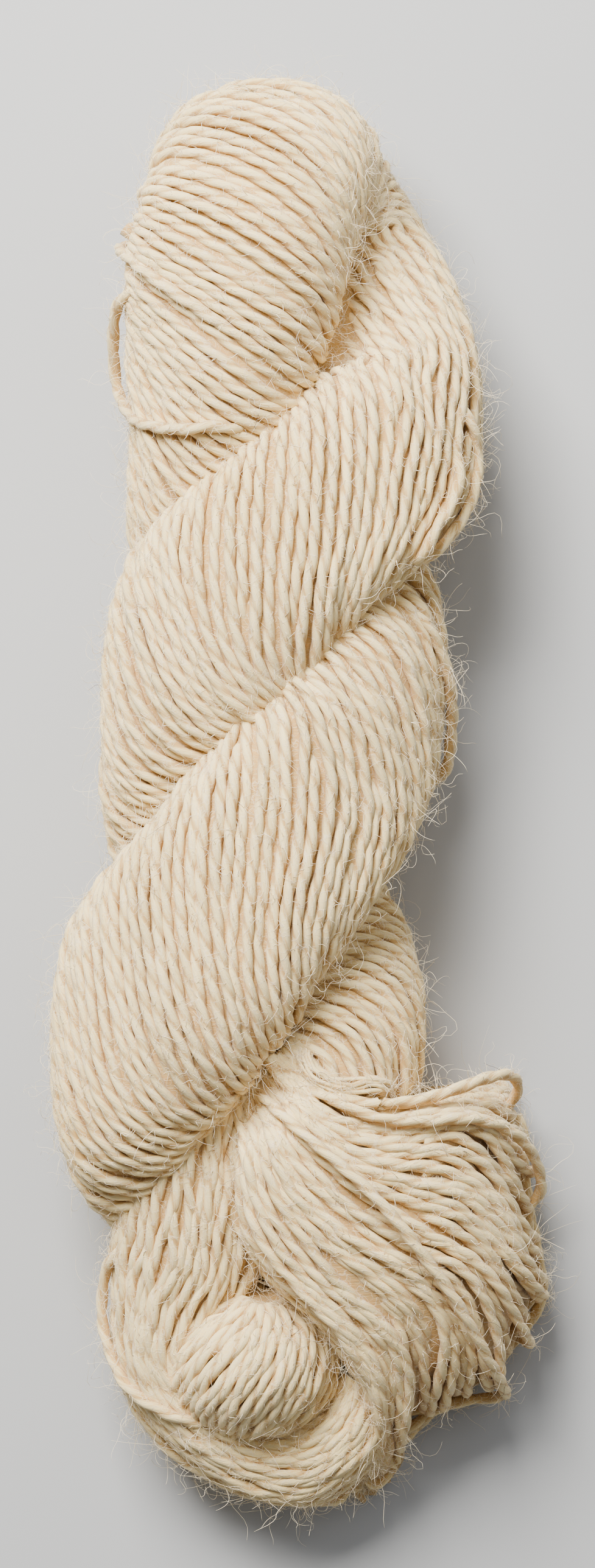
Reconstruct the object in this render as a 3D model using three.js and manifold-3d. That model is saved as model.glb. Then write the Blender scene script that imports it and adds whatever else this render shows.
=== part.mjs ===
// A twisted hank of two-ply wool yarn, lying on its side.
//
// Millimetres, +Z up. The hank lies along Y, with its fold at +Y and its end loop at -Y, and rests
// on the plane Z = 0. It is one soft body: two legs that wind round each other and meet in a fold
// at the top, and at the bottom the loop that one leg ends in, opened as a fan and a ring, with the
// other leg's end pushed up through it as a knob.

import * as THREE from 'three';
import { mergeVertices } from 'three/addons/utils/BufferGeometryUtils.js';
import Module from 'manifold-3d';

// The hank's legs. Each row is a station along the hank.
// turn is the angle of leg A round the hank's axis: 0 at the right, 90 on top, 180 at the left.
// Leg B is always opposite. out is half a leg's thickness away from the axis, side is half of it
// across, and thin is how much flatter a leg's lower side is where it dives under the other leg.
const LEG_COLUMNS = ['y', 'axisX', 'turn', 'radius', 'outA', 'sideA', 'outB', 'sideB', 'thin'];
const LEG_ROWS = [
  [-92, -8.0, 660, 12.0, 12.0, 14.0, 4.0, 4.0, 0.1],
  [-68, -11.0, 598, 15.5, 14.5, 19.0, 6.0, 6.0, 0.1],
  [-50, -11.6, 540, 17.2, 16.8, 24.0, 16.4, 17.0, 0.1],
  [-16, -8.9, 450, 16.0, 16.6, 22.0, 16.0, 21.5, 0.12],
  [17, -5.0, 358, 15.6, 16.0, 22.0, 16.0, 21.5, 0.15],
  [41, -4.0, 268, 16.4, 16.4, 22.0, 16.4, 22.0, 0.3],
  [65, 1.0, 178, 16.4, 16.2, 21.5, 16.2, 21.5, 0.3],
  [80, -0.8, 146, 16.4, 16.0, 21.2, 16.0, 21.0, 0.2],
  [97, -3.6, 117, 16.5, 16.4, 21.0, 16.4, 20.5, 0.1],
  [108, -5.0, 106, 16.5, 16.8, 20.5, 16.8, 20.0, 0],
  [132, -6.5, 92, 16.5, 16.8, 18.5, 16.8, 17.5, 0],
];

const FOLD_Y = 95.5;          // where the legs stop winding and start to turn over
const FOLD_REACH = 18.3;      // how far the fold's middle line reaches past that
const FOOT_A = -84;           // the lower end of leg A, hidden under the knob
const FOOT_B = -66;           // the lower end of leg B, inside the fan
const FOLD_OVERLAP = 0.35;    // how far each leg runs past the fold's top, in radians
const FLATTEN = 0.8;          // the hank's own weight presses it to this part of its height
const AXIS_HEIGHT = 24;       // the height of the hank's axis over the surface
const SQUARENESS = 2.3;       // 2 is an ellipse, and more is squarer
const UPPER_FULLNESS = 0.15;  // how much fuller a leg's upper side is where it comes out
const THIN_AT = 50;           // the turn where the lower side is thinnest
const FULL_AT = 10;           // the turn where the upper side is fullest
const CORE_HALF_OUT = 7;      // the pressed middle of the hank, where the legs meet
const CORE_HALF_SIDE = 15;
const CORE_TOP = 108;
const CORE_FOOT = -62;
const CORE_STATIONS = 26;
const CORE_SIDES = 14;

// The fan: the right side of the end loop, spread out. Each row is one turn of yarn, from its root
// at the last twist to the edge of the fan.
// bow is its bend to the left on the way, sway is how far it swings to and fro, crest is its top.
const FAN_COLUMNS = ['rootX', 'rootY', 'edgeX', 'edgeY', 'bow', 'sway', 'crest', 'edgeZ'];
const FAN_ROWS = [
  [3.0, -46.5, 38.9, -53.0, -4.1, -2.3, 34, 9],
  [0.5, -48.2, 42.0, -64.0, -1.7, -3.3, 39, 9],
  [-1.6, -49.8, 43.4, -71.5, -3.0, -3.0, 42, 9],
  [-3.7, -51.4, 45.2, -84.5, -4.2, -1.9, 43, 10],
  [-5.8, -53.2, 44.9, -95.0, -5.0, -1.7, 43, 10],
  [-7.8, -55.0, 38.0, -107.5, -4.5, -2.0, 43, 9],
  [-9.7, -56.8, 26.0, -115.0, -3.3, -2.5, 42, 9],
  [-11.6, -58.6, 17.5, -121.5, -1.2, -3.8, 41, 9],
  [-13.5, -60.4, 11.0, -127.0, -0.3, -5.6, 38, 9],
];
const FAN_ROOT_Z = 28;        // the height of the fan's root in the last groove
const FAN_ROOT_RISE = 0.16;   // the part of a turn's way over which it climbs from there
const FAN_FALL = 2.6;         // how long a turn stays high before it drops to the edge
const FAN_ROUNDING = 0.9;     // how many rows at each side of the fan round over to the edge
const FAN_SIDE = 0.3;         // the part of its height that is left at the very side
const FAN_TURNS = 27;         // turns that the solid is drawn through
const FAN_STEPS = 15;         // steps along each turn

// The ring: the left side of the end loop, round the knob and under the fan.
const RING_COLUMNS = ['x', 'y', 'z', 'halfWidth', 'halfHeight'];
const RING_ROWS = [
  [-16.0, -50.0, 25.0, 12.0, 12.0],
  [-19.0, -62.0, 22.0, 13.5, 14.0],
  [-20.0, -74.0, 19.0, 14.0, 15.5],
  [-21.0, -84.0, 16.5, 14.7, 16.0],
  [-23.5, -93.0, 15.0, 12.3, 15.0],
  [-25.0, -101.0, 14.0, 10.2, 14.0],
  [-22.0, -109.5, 13.0, 9.5, 13.0],
  [-15.5, -116.0, 12.0, 9.4, 12.0],
  [-7.5, -119.8, 11.5, 9.8, 11.5],
  [1.0, -120.6, 11.5, 9.8, 11.5],
  [8.5, -115.5, 12.5, 8.5, 12.0],
  [13.0, -107.0, 13.0, 7.5, 11.5],
];
const RING_SQUARENESS = 2.2;

// The knob: the other leg's end, pushed up through the loop.
const KNOB_CENTRE = new THREE.Vector3(-8.5, -102.8, 17.5);
const KNOB_SIZE = new THREE.Vector3(16.2, 14.8, 18.0);

const LEG_STATION = 5.5;      // about how far apart the legs' sections are
const LEG_SIDES = 34;
const RING_STATIONS = 34;
const RING_SIDES = 24;
const KNOB_SIDES = 28;
const KNOB_RINGS = 18;
const MERGE_DISTANCE = 1e-4;

const WOOL = { color: 0xdccbb2, roughness: 0.95, metalness: 0 };

const radians = THREE.MathUtils.degToRad;
const clamp01 = (value) => THREE.MathUtils.clamp(value, 0, 1);

// A smooth curve through the rows of a table, read at any place along its first column.
class Table {
  constructor(columns, rows) {
    this.columns = columns;
    this.rows = rows;
  }

  static numbered(columns, rows) {
    return new Table(['row', ...columns], rows.map((row, i) => [i, ...row]));
  }

  slope(k, i) {
    const place = (j) => this.rows[j][0];
    const value = (j) => this.rows[j][k];
    const last = this.rows.length - 1;
    if (i === 0) return (value(1) - value(0)) / (place(1) - place(0));
    if (i === last) return (value(last) - value(last - 1)) / (place(last) - place(last - 1));
    const before = place(i) - place(i - 1);
    const after = place(i + 1) - place(i);
    const rise = before ** 2 * (value(i + 1) - value(i)) + after ** 2 * (value(i) - value(i - 1));
    return rise / (before * after * (before + after));
  }

  at(name, place) {
    const k = this.columns.indexOf(name);
    const found = this.rows.findIndex((row) => row[0] > place);
    const next = found < 0 ? this.rows.length - 1 : Math.max(found, 1);
    const low = this.rows[next - 1];
    const high = this.rows[next];
    const step = high[0] - low[0];
    const t = clamp01((place - low[0]) / step);
    const fromLow = (1 + 2 * t) * (1 - t) ** 2 * low[k] + t * (1 - t) ** 2 * step * this.slope(k, next - 1);
    const fromHigh = t * t * (3 - 2 * t) * high[k] + t * t * (t - 1) * step * this.slope(k, next);
    return fromLow + fromHigh;
  }
}

const legTable = new Table(LEG_COLUMNS, LEG_ROWS);
const fanTable = Table.numbered(FAN_COLUMNS, FAN_ROWS);
const ringTable = Table.numbered(RING_COLUMNS, RING_ROWS);

// A point of a unit section between an ellipse and a rectangle, at an angle.
function roundedSection(angle, squareness) {
  const c = Math.cos(angle);
  const s = Math.sin(angle);
  const size = (Math.abs(c) ** squareness + Math.abs(s) ** squareness) ** (-1 / squareness);
  return [size * c, size * s];
}

// The middle line of one leg, from its foot up to the fold and a little past the fold's top.
// Above FOLD_Y the leg swings in to the axis and over it, as a half circle does.
class LegLine extends THREE.Curve {
  constructor(leg) {
    super();
    this.leg = leg;
    this.arm = leg === 'A' ? 1 : -1;
    this.foot = leg === 'A' ? FOOT_A : FOOT_B;
    this.rise = FOLD_Y - this.foot;
    this.bend = Math.PI / 2 + FOLD_OVERLAP;
    this.straightPart = this.rise / (this.rise + this.bend * FOLD_REACH);
  }

  // The height along the hank, and how much of the axis distance is left there.
  place(t) {
    if (t <= this.straightPart) return { y: this.foot + (this.rise * t) / this.straightPart, left: 1 };
    const angle = (this.bend * (t - this.straightPart)) / (1 - this.straightPart);
    return { y: FOLD_Y + FOLD_REACH * Math.sin(angle), left: Math.cos(angle) };
  }

  getPoint(t, target = new THREE.Vector3()) {
    const { y, left } = this.place(t);
    const turn = radians(legTable.at('turn', y));
    const reach = this.arm * left * legTable.at('radius', y);
    return target.set(legTable.at('axisX', y) + reach * Math.cos(turn), y, reach * Math.sin(turn));
  }
}

// One section of a leg: a squared oval across the leg's line, its thin way pointing out.
function legSection(line, u) {
  const t = line.getUtoTmapping(u);
  const { y } = line.place(t);
  const centre = line.getPoint(t);
  const along = line.getTangent(t);
  const spine = new THREE.Vector3(legTable.at('axisX', y), Math.min(y, FOLD_Y), 0);
  const out = centre.clone().sub(spine);
  out.addScaledVector(along, -out.dot(along)).normalize();
  const across = new THREE.Vector3().crossVectors(along, out);
  const halfOut = legTable.at(`out${line.leg}`, y);
  const halfSide = legTable.at(`side${line.leg}`, y);
  const turn = radians(legTable.at('turn', y) + (line.leg === 'A' ? 0 : 180));
  const thin = legTable.at('thin', y) * Math.max(Math.cos(turn - radians(THIN_AT)), 0) ** 2;
  const full = UPPER_FULLNESS * Math.max(Math.cos(turn - radians(FULL_AT)), 0) ** 2;
  return Array.from({ length: LEG_SIDES }, (_, i) => {
    const [c, s] = roundedSection((2 * Math.PI * i) / LEG_SIDES, SQUARENESS);
    const isUpper = s * across.y > 0;
    const side = halfSide * (isUpper ? 1 + full : 1 - thin);
    const point = centre.clone().addScaledVector(out, c * halfOut).addScaledVector(across, s * side);
    return point.setZ(AXIS_HEIGHT + FLATTEN * point.z);
  });
}

function makeLeg(leg) {
  const line = new LegLine(leg);
  line.arcLengthDivisions = 600;
  const stations = Math.round(line.getLength() / LEG_STATION);
  return loft(Array.from({ length: stations + 1 }, (_, i) => legSection(line, i / stations)));
}

// The pressed core that the two legs share, so that no hollow is left between them. It is a flat
// bar that twists with the legs.
function makeCore() {
  return loft(Array.from({ length: CORE_STATIONS + 1 }, (_, i) => {
    const y = THREE.MathUtils.lerp(CORE_FOOT, CORE_TOP, i / CORE_STATIONS);
    const turn = radians(legTable.at('turn', y));
    return Array.from({ length: CORE_SIDES }, (_unused, j) => {
      const angle = (-2 * Math.PI * j) / CORE_SIDES;
      const out = CORE_HALF_OUT * Math.cos(angle);
      const side = CORE_HALF_SIDE * Math.sin(angle);
      const x = legTable.at('axisX', y) + out * Math.cos(turn) - side * Math.sin(turn);
      return new THREE.Vector3(x, y, AXIS_HEIGHT + FLATTEN * (out * Math.sin(turn) + side * Math.cos(turn)));
    });
  }));
}

// One turn of the fan, as a closed outline: over the top from the root to the edge, and back
// along the surface underneath.
function fanSection(row) {
  const read = (name) => fanTable.at(name, row);
  const fromSide = Math.min(row, FAN_ROWS.length - 1 - row) / FAN_ROUNDING;
  const round = Math.sqrt(1 - (1 - clamp01(fromSide)) ** 2);
  const height = FAN_SIDE + (1 - FAN_SIDE) * round;
  const root = new THREE.Vector2(read('rootX'), read('rootY'));
  const edge = new THREE.Vector2(read('edgeX'), read('edgeY'));
  const along = edge.clone().sub(root);
  const left = new THREE.Vector2(-along.y, along.x).normalize();
  const top = Array.from({ length: FAN_STEPS + 1 }, (_, i) => {
    const t = Math.sin((0.5 * Math.PI * i) / FAN_STEPS);
    const bend = read('bow') * 4 * t * (1 - t) + read('sway') * Math.sin(2 * Math.PI * t);
    const plan = root.clone().addScaledVector(along, t).addScaledVector(left, bend);
    const fall = Math.sqrt(Math.max(1 - t ** FAN_FALL, 0));
    const rise = (read('crest') - FAN_ROOT_Z) * Math.max(1 - t / FAN_ROOT_RISE, 0) ** 2;
    const z = read('edgeZ') + (read('crest') - read('edgeZ')) * fall - rise;
    return new THREE.Vector3(plan.x, plan.y, z * height);
  });
  const lip = top.at(-1).clone().setZ(2.5);
  const under = top.slice(0, -1).map((point) => point.clone().setZ(-1));
  return [...under, lip, ...top.reverse()];
}

// The turns are drawn closer together at the fan's two sides, where it rounds over.
function makeFan() {
  const last = FAN_ROWS.length - 1;
  return loft(Array.from({ length: FAN_TURNS }, (_, i) => {
    const even = i / (FAN_TURNS - 1);
    const spread = even - (0.75 * Math.sin(2 * Math.PI * even)) / (2 * Math.PI);
    return fanSection(last * spread);
  }));
}

// The ring: a squared oval carried along the loop's line.
function makeRing() {
  const last = RING_ROWS.length - 1;
  const centre = (row) => new THREE.Vector3(...['x', 'y', 'z'].map((name) => ringTable.at(name, row)));
  const up = new THREE.Vector3(0, 0, 1);
  return loft(Array.from({ length: RING_STATIONS }, (_, i) => {
    const row = (last * i) / (RING_STATIONS - 1);
    const along = centre(Math.min(row + 0.05, last)).sub(centre(Math.max(row - 0.05, 0))).normalize();
    const right = new THREE.Vector3().crossVectors(along, up).normalize();
    const top = new THREE.Vector3().crossVectors(right, along);
    return Array.from({ length: RING_SIDES }, (_unused, j) => {
      const [c, s] = roundedSection((2 * Math.PI * j) / RING_SIDES, RING_SQUARENESS);
      return centre(row)
        .addScaledVector(right, -c * ringTable.at('halfWidth', row))
        .addScaledVector(top, s * ringTable.at('halfHeight', row));
    });
  }));
}

function makeKnob() {
  const geometry = new THREE.SphereGeometry(1, KNOB_SIDES, KNOB_RINGS);
  return geometry.scale(...KNOB_SIZE).translate(...KNOB_CENTRE);
}

// The space over the surface that the hank lies on. What is below it is pressed flat.
function makeRoomAbove() {
  return new THREE.BoxGeometry(400, 400, 200).translate(0, 0, 100);
}

// A closed skin through a row of outlines that all have the same number of points.
function loft(outlines) {
  const sides = outlines[0].length;
  const middle = (outline) => outline.reduce((sum, p) => sum.add(p), new THREE.Vector3()).divideScalar(sides);
  const points = [...outlines.flat(), middle(outlines[0]), middle(outlines.at(-1))];
  const startCap = outlines.length * sides;
  const faces = [];
  for (let i = 0; i < outlines.length - 1; i += 1) {
    for (let j = 0; j < sides; j += 1) {
      const a = i * sides + j;
      const b = i * sides + ((j + 1) % sides);
      faces.push(a, b, b + sides, a, b + sides, a + sides);
    }
  }
  for (let j = 0; j < sides; j += 1) {
    const next = (j + 1) % sides;
    const end = (outlines.length - 1) * sides;
    faces.push(startCap, next, j, startCap + 1, end + j, end + next);
  }
  const geometry = new THREE.BufferGeometry();
  geometry.setAttribute('position', new THREE.Float32BufferAttribute(points.flatMap((p) => [p.x, p.y, p.z]), 3));
  geometry.setIndex(faces);
  return geometry;
}

const wasm = await Module();
wasm.setup();

function toManifold(geometry) {
  geometry.deleteAttribute('normal');
  geometry.deleteAttribute('uv');
  const merged = mergeVertices(geometry, MERGE_DISTANCE);
  return new wasm.Manifold(new wasm.Mesh({
    numProp: 3,
    vertProperties: new Float32Array(merged.attributes.position.array),
    triVerts: new Uint32Array(merged.index.array),
  }));
}

function fromManifold(solid) {
  const mesh = solid.getMesh();
  const geometry = new THREE.BufferGeometry();
  geometry.setAttribute('position', new THREE.BufferAttribute(new Float32Array(mesh.vertProperties), 3));
  geometry.setIndex(new THREE.BufferAttribute(new Uint32Array(mesh.triVerts), 1));
  return geometry;
}

function makeHank() {
  const bodies = [makeLeg('A'), makeLeg('B'), makeCore(), makeFan(), makeRing(), makeKnob()];
  const joined = bodies.map(toManifold).reduce((whole, body) => whole.add(body));
  const geometry = fromManifold(joined.intersect(toManifold(makeRoomAbove())));
  geometry.computeBoundingBox();
  const middle = geometry.boundingBox.getCenter(new THREE.Vector3());
  return geometry.translate(-middle.x, -middle.y, 0);
}

const hank = new THREE.Mesh(makeHank(), new THREE.MeshStandardMaterial(WOOL));
hank.name = 'hank';
hank.geometry.computeVertexNormals();

const part = new THREE.Group();
part.add(hank);

export default part;
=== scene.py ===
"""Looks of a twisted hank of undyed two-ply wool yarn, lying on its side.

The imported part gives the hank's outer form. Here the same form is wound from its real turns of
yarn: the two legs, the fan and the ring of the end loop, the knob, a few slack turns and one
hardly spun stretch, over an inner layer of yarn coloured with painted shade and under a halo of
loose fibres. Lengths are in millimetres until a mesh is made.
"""

import logging
import math
from dataclasses import dataclass, field
from enum import Enum

import bpy
import numpy as np
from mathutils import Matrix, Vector
from mathutils.bvhtree import BVHTree


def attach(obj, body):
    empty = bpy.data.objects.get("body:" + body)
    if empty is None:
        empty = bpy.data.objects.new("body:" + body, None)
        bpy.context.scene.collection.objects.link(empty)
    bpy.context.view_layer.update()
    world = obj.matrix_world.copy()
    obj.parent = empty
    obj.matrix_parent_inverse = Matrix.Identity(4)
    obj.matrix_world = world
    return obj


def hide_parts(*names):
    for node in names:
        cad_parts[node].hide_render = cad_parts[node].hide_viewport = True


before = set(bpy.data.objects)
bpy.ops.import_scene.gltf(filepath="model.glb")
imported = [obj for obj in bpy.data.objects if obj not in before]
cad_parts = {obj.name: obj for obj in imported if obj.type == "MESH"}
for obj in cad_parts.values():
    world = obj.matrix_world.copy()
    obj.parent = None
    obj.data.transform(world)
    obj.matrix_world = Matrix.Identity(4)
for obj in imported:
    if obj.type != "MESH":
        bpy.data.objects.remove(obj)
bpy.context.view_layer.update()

LOG = logging.getLogger("hank")
MM = 0.001
SEED = 20
GOLDEN = 0.6180340
Triple = tuple[float, float, float]
Colour = Triple

# What is added to a place in the tables below to have it in the part's own frame.
CENTRING = np.array([0.12, 0.05, 0.0])

# The legs. Each row is a station along the hank. turn is the angle of leg A round the axis, and
# out and side are each leg's half widths away from the axis and beside it.
LEG_COLUMNS = ("y", "axis_x", "turn", "radius", "out_a", "side_a", "out_b", "side_b", "thin")
LEG_ROWS = (
    (-92, -8.0, 660, 12.0, 12.0, 14.0, 4.0, 4.0, 0.1),
    (-68, -11.0, 598, 15.5, 14.5, 19.0, 6.0, 6.0, 0.1),
    (-50, -11.6, 540, 17.2, 16.8, 24.0, 16.4, 17.0, 0.1),
    (-16, -8.9, 450, 16.0, 16.6, 22.0, 16.0, 21.5, 0.12),
    (17, -5.0, 358, 15.6, 16.0, 22.0, 16.0, 21.5, 0.15),
    (41, -4.0, 268, 16.4, 16.4, 22.0, 16.4, 22.0, 0.3),
    (65, 1.0, 178, 16.4, 16.2, 21.5, 16.2, 21.5, 0.3),
    (80, -0.8, 146, 16.4, 16.0, 21.2, 16.0, 21.0, 0.2),
    (97, -3.6, 117, 16.5, 16.4, 21.0, 16.4, 20.5, 0.1),
    (108, -5.0, 106, 16.5, 16.8, 20.5, 16.8, 20.0, 0),
    (132, -6.5, 92, 16.5, 16.8, 18.5, 16.8, 17.5, 0),
)

# How the strands run round the legs. drift is how far they slip round for each millimetre along,
# and lean_a how much more they do on one side of leg A than on the other.
DRIFT_COLUMNS = ("y", "drift_a", "drift_b", "lean_a")
DRIFT_ROWS = (
    (-92, 4.0, 2.4, 0), (-68, 4.5, 2.8, 0), (-50, 3.3, 3.2, 0), (-32, 2.1, 3.1, 0),
    (-16, 1.45, 3.2, 0), (-4, 1.35, 4.0, 0), (4, 2.3, 4.6, 0), (12, 3.4, 5.0, 0),
    (22, 3.6, 5.5, 0), (31, 3.0, 5.0, 0), (37, 2.4, 2.3, 0), (43, 2.3, 2.2, 0),
    (50, 2.5, 1.9, 0), (57, 2.7, 1.5, 0), (65, 3.0, 0.85, 0), (80, 4.2, 0.6, 0.35),
    (97, 4.7, 0.5, 0.7), (108, 4.7, 0.8, 0.7), (132, 3.0, 1.5, 0.4),
)

# The fan. Each row is one turn of yarn, from its root at the last twist to the fan's edge.
FAN_COLUMNS = ("row", "root_x", "root_y", "edge_x", "edge_y", "bow", "sway", "crest", "edge_z")
FAN_ROWS = (
    (0, 3.0, -46.5, 38.9, -53.0, -4.1, -2.3, 34, 9),
    (1, 0.5, -48.2, 42.0, -64.0, -1.7, -3.3, 39, 9),
    (2, -1.6, -49.8, 43.4, -71.5, -3.0, -3.0, 42, 9),
    (3, -3.7, -51.4, 45.2, -84.5, -4.2, -1.9, 43, 10),
    (4, -5.8, -53.2, 44.9, -95.0, -5.0, -1.7, 43, 10),
    (5, -7.8, -55.0, 38.0, -107.5, -4.5, -2.0, 43, 9),
    (6, -9.7, -56.8, 26.0, -115.0, -3.3, -2.5, 42, 9),
    (7, -11.6, -58.6, 17.5, -121.5, -1.2, -3.8, 41, 9),
    (8, -13.5, -60.4, 11.0, -127.0, -0.3, -5.6, 38, 9),
)
LAST_ROW = len(FAN_ROWS) - 1

# The ring of the end loop, round the knob and under the fan.
RING_COLUMNS = ("row", "x", "y", "z", "half_width", "half_height")
RING_ROWS = (
    (0, -16.0, -50.0, 25.0, 12.0, 12.0),
    (1, -19.0, -62.0, 22.0, 13.5, 14.0),
    (2, -20.0, -74.0, 19.0, 14.0, 15.5),
    (3, -21.0, -84.0, 16.5, 14.7, 16.0),
    (4, -23.5, -93.0, 15.0, 12.3, 15.0),
    (5, -25.0, -101.0, 14.0, 10.2, 14.0),
    (6, -22.0, -109.5, 13.0, 9.5, 13.0),
    (7, -15.5, -116.0, 12.0, 9.4, 12.0),
    (8, -7.5, -119.8, 11.5, 9.8, 11.5),
    (9, 1.0, -120.6, 11.5, 9.8, 11.5),
    (10, 8.5, -115.5, 12.5, 8.5, 12.0),
    (11, 13.0, -107.0, 13.0, 7.5, 11.5),
)


def unit(vectors: np.ndarray) -> np.ndarray:
    """Vectors over their own length."""
    return vectors / np.maximum(np.linalg.norm(vectors, axis=-1, keepdims=True), 1e-9)


def dot(a: np.ndarray, b: np.ndarray) -> np.ndarray:
    """The dot product of each pair of vectors, kept as a column."""
    return (a * b).sum(axis=-1, keepdims=True)


def ease(values: np.ndarray, low: float, high: float) -> np.ndarray:
    """A smooth step: 0 below low, 1 above high, and 3t squared less 2t cubed between."""
    t = np.clip((np.asarray(values, float) - low) / (high - low), 0, 1)
    return t * t * (3 - 2 * t)


def distance_along(points: np.ndarray) -> np.ndarray:
    """The length of the line through the points, up to each point."""
    return np.r_[0, np.cumsum(np.linalg.norm(np.diff(points, axis=0), axis=1))]


def read_columns(place: np.ndarray, places: np.ndarray, values: np.ndarray) -> np.ndarray:
    """Every column of values, read between its rows at the places asked for."""
    return np.stack([np.interp(place, places, column) for column in values.T], axis=-1)


def smoothed(values: np.ndarray, reach: int) -> np.ndarray:
    """The mean of each value and its neighbours, as many on either side as reach."""
    count = 2 * reach + 1
    return np.convolve(np.pad(values, reach, mode="edge"), np.full(count, 1 / count), "valid")


def wander(rng: np.random.Generator, places: np.ndarray, wave: float, size: float) -> np.ndarray:
    """A slow to and fro along a strand: three sines of random phase, about wave long.

    Args:
        rng: Where the phases come from.
        places: Distances along the strand.
        wave: The length of the longest wave.
        size: The typical size of the sway.

    Returns:
        One offset for each place.
    """
    phases = rng.uniform(0, 2 * np.pi, 3)
    waves = wave * np.array([1.0, 0.57, 0.31]) * rng.uniform(0.85, 1.2, 3)
    sines = np.sin(2 * np.pi * np.asarray(places)[:, None] / waves + phases)
    return size * sines @ np.array([0.8, 0.5, 0.3])


@dataclass(frozen=True)
class Table:
    """Rows of numbers that are read as smooth curves along their first column."""

    columns: tuple[str, ...]
    rows: tuple[tuple[float, ...], ...]

    def at(self, name: str, place: np.ndarray) -> np.ndarray:
        """Reads one column by a cubic through its rows, with each row's slope from its neighbours.

        Args:
            name: The column.
            place: Where to read, in the first column's terms.

        Returns:
            The column's value at each place.
        """
        rows = np.array(self.rows, float)
        places, values = rows[:, 0], rows[:, self.columns.index(name)]
        slopes = np.gradient(values, places)
        place = np.asarray(place, float)
        low = np.clip(np.searchsorted(places, place) - 1, 0, len(places) - 2)
        step = places[low + 1] - places[low]
        t = np.clip((place - places[low]) / step, 0, 1)
        from_low = (1 + 2 * t) * (1 - t) ** 2 * values[low] + t * (1 - t) ** 2 * step * slopes[low]
        from_high = t * t * (3 - 2 * t) * values[low + 1] + t * t * (t - 1) * step * slopes[low + 1]
        return from_low + from_high


LEG_TABLE = Table(LEG_COLUMNS, LEG_ROWS)
FAN_TABLE = Table(FAN_COLUMNS, FAN_ROWS)
RING_TABLE = Table(RING_COLUMNS, RING_ROWS)
DRIFT_TABLE = Table(DRIFT_COLUMNS, DRIFT_ROWS)


def corners_of(mesh: bpy.types.Mesh) -> np.ndarray:
    """The places of a mesh's corners, in metres."""
    corners = np.zeros(len(mesh.vertices) * 3)
    mesh.vertices.foreach_get("co", corners)
    return corners.reshape(-1, 3)


def placed(name: str, data: bpy.types.ID) -> bpy.types.Object:
    """Puts new data into the scene as an object of that name."""
    thing = bpy.data.objects.new(name, data)
    bpy.context.scene.collection.objects.link(thing)
    return thing


def put_marks(mesh: bpy.types.Mesh, marks: dict[str, np.ndarray], fibre: np.ndarray) -> None:
    """Writes what the wool's finish reads at each corner of a mesh.

    Args:
        mesh: The mesh.
        marks: The values of each plain mark, by its name.
        fibre: The place along the strand and across it, in millimetres.
    """
    for mark, values in marks.items():
        mesh.attributes.new(mark, "FLOAT", "POINT").data.foreach_set("value", values)
    mesh.attributes.new("fibre", "FLOAT_VECTOR", "POINT").data.foreach_set("vector", fibre.ravel())


def shaded(name: str, values: dict[str, object]) -> tuple[bpy.types.Material, bpy.types.Node]:
    """A new material with its shader's inputs set.

    Args:
        name: The material's name.
        values: What each input of the shader is set to.

    Returns:
        The material, and its shader.
    """
    material = bpy.data.materials.new(name)
    material.use_nodes = True
    shader = material.node_tree.nodes["Principled BSDF"]
    for socket, value in values.items():
        shader.inputs[socket].default_value = value
    return material, shader


class Twist(Enum):
    """Which way the plies of a strand turn, as seen from any side."""

    LEFT = -1
    RIGHT = 1


@dataclass(frozen=True)
class Gauge:
    """The sizes of one kind of strand, and how finely it is drawn."""

    diameter: float = 2.32
    ply_turn: float = 11.6
    step: float = 1.35
    twist: Twist = Twist.LEFT
    section: tuple[float, ...] = (0.5, 0.46, 0.365, 0.46, 0.5, 0.46, 0.365, 0.46)

    @property
    def radius(self) -> float:
        """Half the strand's diameter."""
        return self.diameter / 2


PLIED = Gauge()
SLUB = Gauge(diameter=1.1, ply_turn=40.0)
FIBRE = Gauge(diameter=0.09, ply_turn=1e6, step=1.0, section=(0.5, 0.5, 0.5))


@dataclass
class Strand:
    """One run of yarn: its middle line, the way out of the hank at each point, and its own marks."""

    points: np.ndarray
    outward: np.ndarray
    width: np.ndarray
    tone: float = 0.0
    phase: float = 0.0
    depth: np.ndarray = field(default_factory=lambda: np.zeros(0))

    @classmethod
    def drawn(cls, points: np.ndarray, outward: np.ndarray, gauge: Gauge,
              rng: np.random.Generator) -> "Strand":
        """Draws a strand again with points one step apart.

        Args:
            points: The middle line.
            outward: The way out of the hank at each point.
            gauge: The strand's sizes.
            rng: Where its tone and the start of its twist come from.

        Returns:
            The strand.
        """
        length = distance_along(points)
        places = np.linspace(0, length[-1], max(int(length[-1] / gauge.step), 3))
        points = read_columns(places, length, points)
        outward = unit(read_columns(places, length, outward))
        widths = 1 + wander(rng, places, 60.0, 0.045)
        return cls(points, outward, widths, rng.normal(0, 0.5), rng.uniform(0, 2 * np.pi))

    @property
    def depths(self) -> np.ndarray:
        """How deep each point lies in the hank, or 0 where that wasn't measured."""
        return self.depth if len(self.depth) else np.zeros(len(self.points))

    def parts(self, keep: np.ndarray, least: int = 5) -> list["Strand"]:
        """The runs of the strand where keep holds. Each run's twist starts anew, by where it begins.

        Args:
            keep: True at each point that stays.
            least: The fewest points that a run may have.

        Returns:
            The runs, each a strand.
        """
        edges = np.flatnonzero(np.diff(np.r_[0, keep.astype(int), 0]))
        phase = self.phase + distance_along(self.points)
        return [
            Strand(self.points[a:b], self.outward[a:b], self.width[a:b], self.tone, phase[a],
                   self.depth[a:b])
            for a, b in zip(edges[::2], edges[1::2]) if b - a >= least
        ]


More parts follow.
